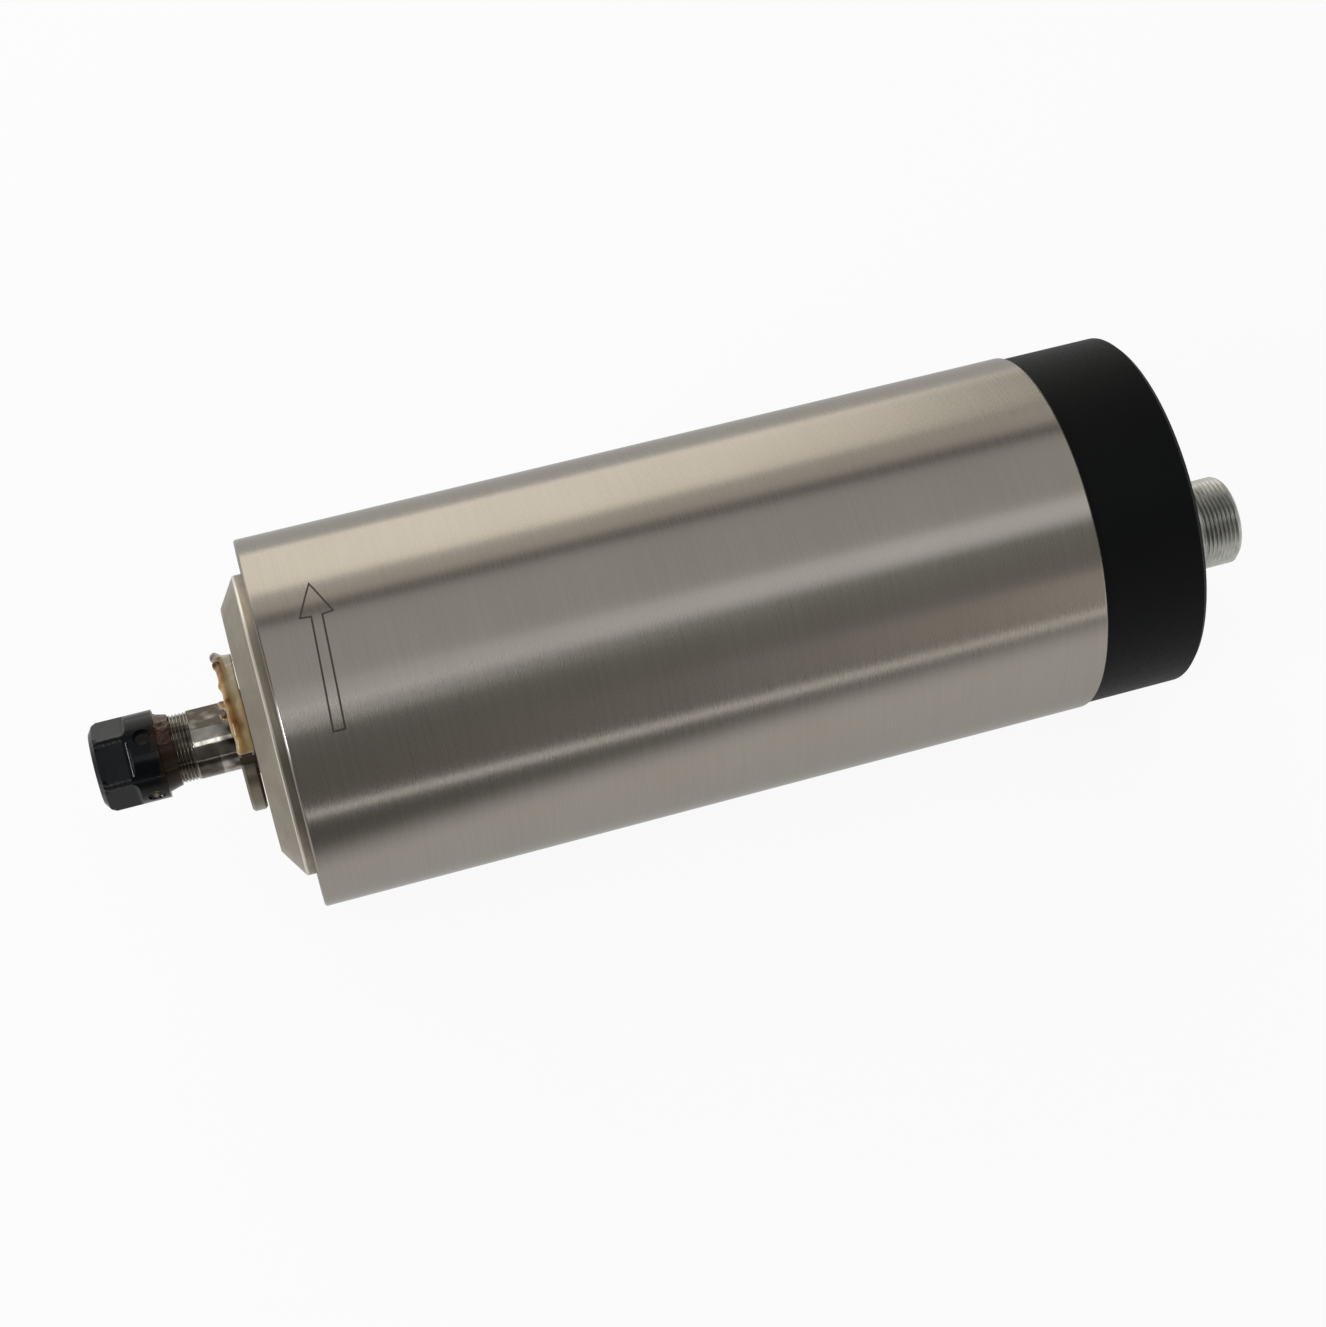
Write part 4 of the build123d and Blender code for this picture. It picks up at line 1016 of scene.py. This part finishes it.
# %% Floor
FLOOR, HALF_FLOOR = -40.0 * MM, 4.0      # metres
square = (-1, -1), (1, -1), (1, 1), (-1, 1)
corners = [(x * HALF_FLOOR, y * HALF_FLOOR, FLOOR) for x, y in square]
floor_mesh = bpy.data.meshes.new("floor")
floor_mesh.from_pydata(corners, [], [(0, 1, 2, 3)])
floor_mesh.materials.append(finishes["floor"])
floor = add_object("floor", floor_mesh)
print("floor at", FLOOR, "m")

# %% [markdown]
# The room is dim and slightly warm, so the lamps draw the shapes. The camera sees a white backdrop
# in its place: a matter of the backdrop's colour, not of more light.

# %% Room light
world = bpy.data.worlds.new("studio room")
world.use_nodes = True
bpy.context.scene.world = world
tree = world.node_tree
tree.nodes.clear()
room = add_node(tree, "Background", {"Color": (0.15, 0.147, 0.142, 1), "Strength": 1.0})
backdrop = add_node(tree, "Background", {"Color": linear("#F8F8F8"), "Strength": 1.0})
mix = add_node(tree, "MixShader", {0: add_node(tree, "LightPath").outputs["Is Camera Ray"],
                                   1: room, 2: backdrop})
add_node(tree, "OutputWorld", {"Surface": mix})
print("room", [round(c, 3) for c in room.inputs["Color"].default_value[:3]])

# %% [markdown]
# Softboxes are long and lie parallel to the spindle, so that each draws one even band along the
# jacket. Each hangs at an angle round the axis, counted from behind it upwards.

# %% Softboxes
SOFTBOX_AWAY = 0.9               # metres from the axis


def hang_lamp(name, target, away, distance, along, length, width, radiance, color):
    """A rectangular lamp that faces `target` from `distance` metres, with its long side along
    `along`. A surface of area A with radiance L gives off a power of pi A L."""
    lamp = bpy.data.lights.new(name, "AREA")
    lamp.shape = "RECTANGLE"
    lamp.size, lamp.size_y = length, width
    lamp.energy = float(np.pi * length * width * radiance)
    lamp.color = color
    holder = add_object(name, lamp)
    away = Vector(away).normalized()
    along = (Vector(along) - away * away.dot(Vector(along))).normalized()
    holder.location = Vector(target) + away * distance
    holder.rotation_euler = Matrix((along, away.cross(along), away)).transposed().to_euler()
    print(name, round(lamp.energy, 2), "W")


def softbox(name, angle, spread, radiance, middle, length, color):
    """A lamp parallel to the axis that is `spread` degrees wide as the axis sees it."""
    width = 2 * SOFTBOX_AWAY * np.tan(np.radians(spread / 2))
    turned = np.radians(angle)
    hang_lamp(name, (middle, 0, 0), (0, np.cos(turned), np.sin(turned)), SOFTBOX_AWAY,
              (1, 0, 0), length, width, radiance, color)

# %% [markdown]
# A tall window behind draws the broad bright band along the jacket's back, and its edge the softer
# one above. The ceiling gives the even grey of the top, its lamp a cool band near the cover, and a
# strip low in front the thin bright line. A short lamp lights only the neck, two weak glows lift
# the rear end, and a small flash strikes sparks on the nut and the grease. At these levels a
# colour renders about as it is written.

# %% Lamps
# name, degrees round, degrees wide, radiance, middle in m along the axis, length in m, colour
for lamp_row in (
    ("window", 19, 42, 1.6, -0.30, 1.3, (1.0, 0.975, 0.91)),
    ("window_edge", 48, 17, 0.6, -0.1, 1.4, (1.0, 0.98, 0.94)),
    ("ceiling", 92, 56, 0.5, 0.1, 1.7, (0.97, 0.98, 1.0)),
    ("ceiling_lamp", 115, 17, 0.54, 0.47, 0.9, (0.88, 0.94, 1.0)),
    ("front_strip", 182, 3, 3.0, 0.1, 1.7, (1, 1, 1)),
    ("nose_lamp", 124, 13, 4.2, -0.12, 0.055, (0.95, 0.98, 1.0)),
    ("room_glow", 150, 46, 0.14, 0.79, 1.42, (1, 1, 1)),
    ("rear_glow", 166, 24, 0.52, 0.95, 1.2, (1.0, 0.93, 0.85)),
):
    softbox(*lamp_row)
hang_lamp("side_flash", (-0.118, 0, 0), (-0.892, -0.291, 0.345), 1.2, (0, 0.817, 0.576),
          0.4, 0.1, 70, (0.82, 0.9, 1.0))
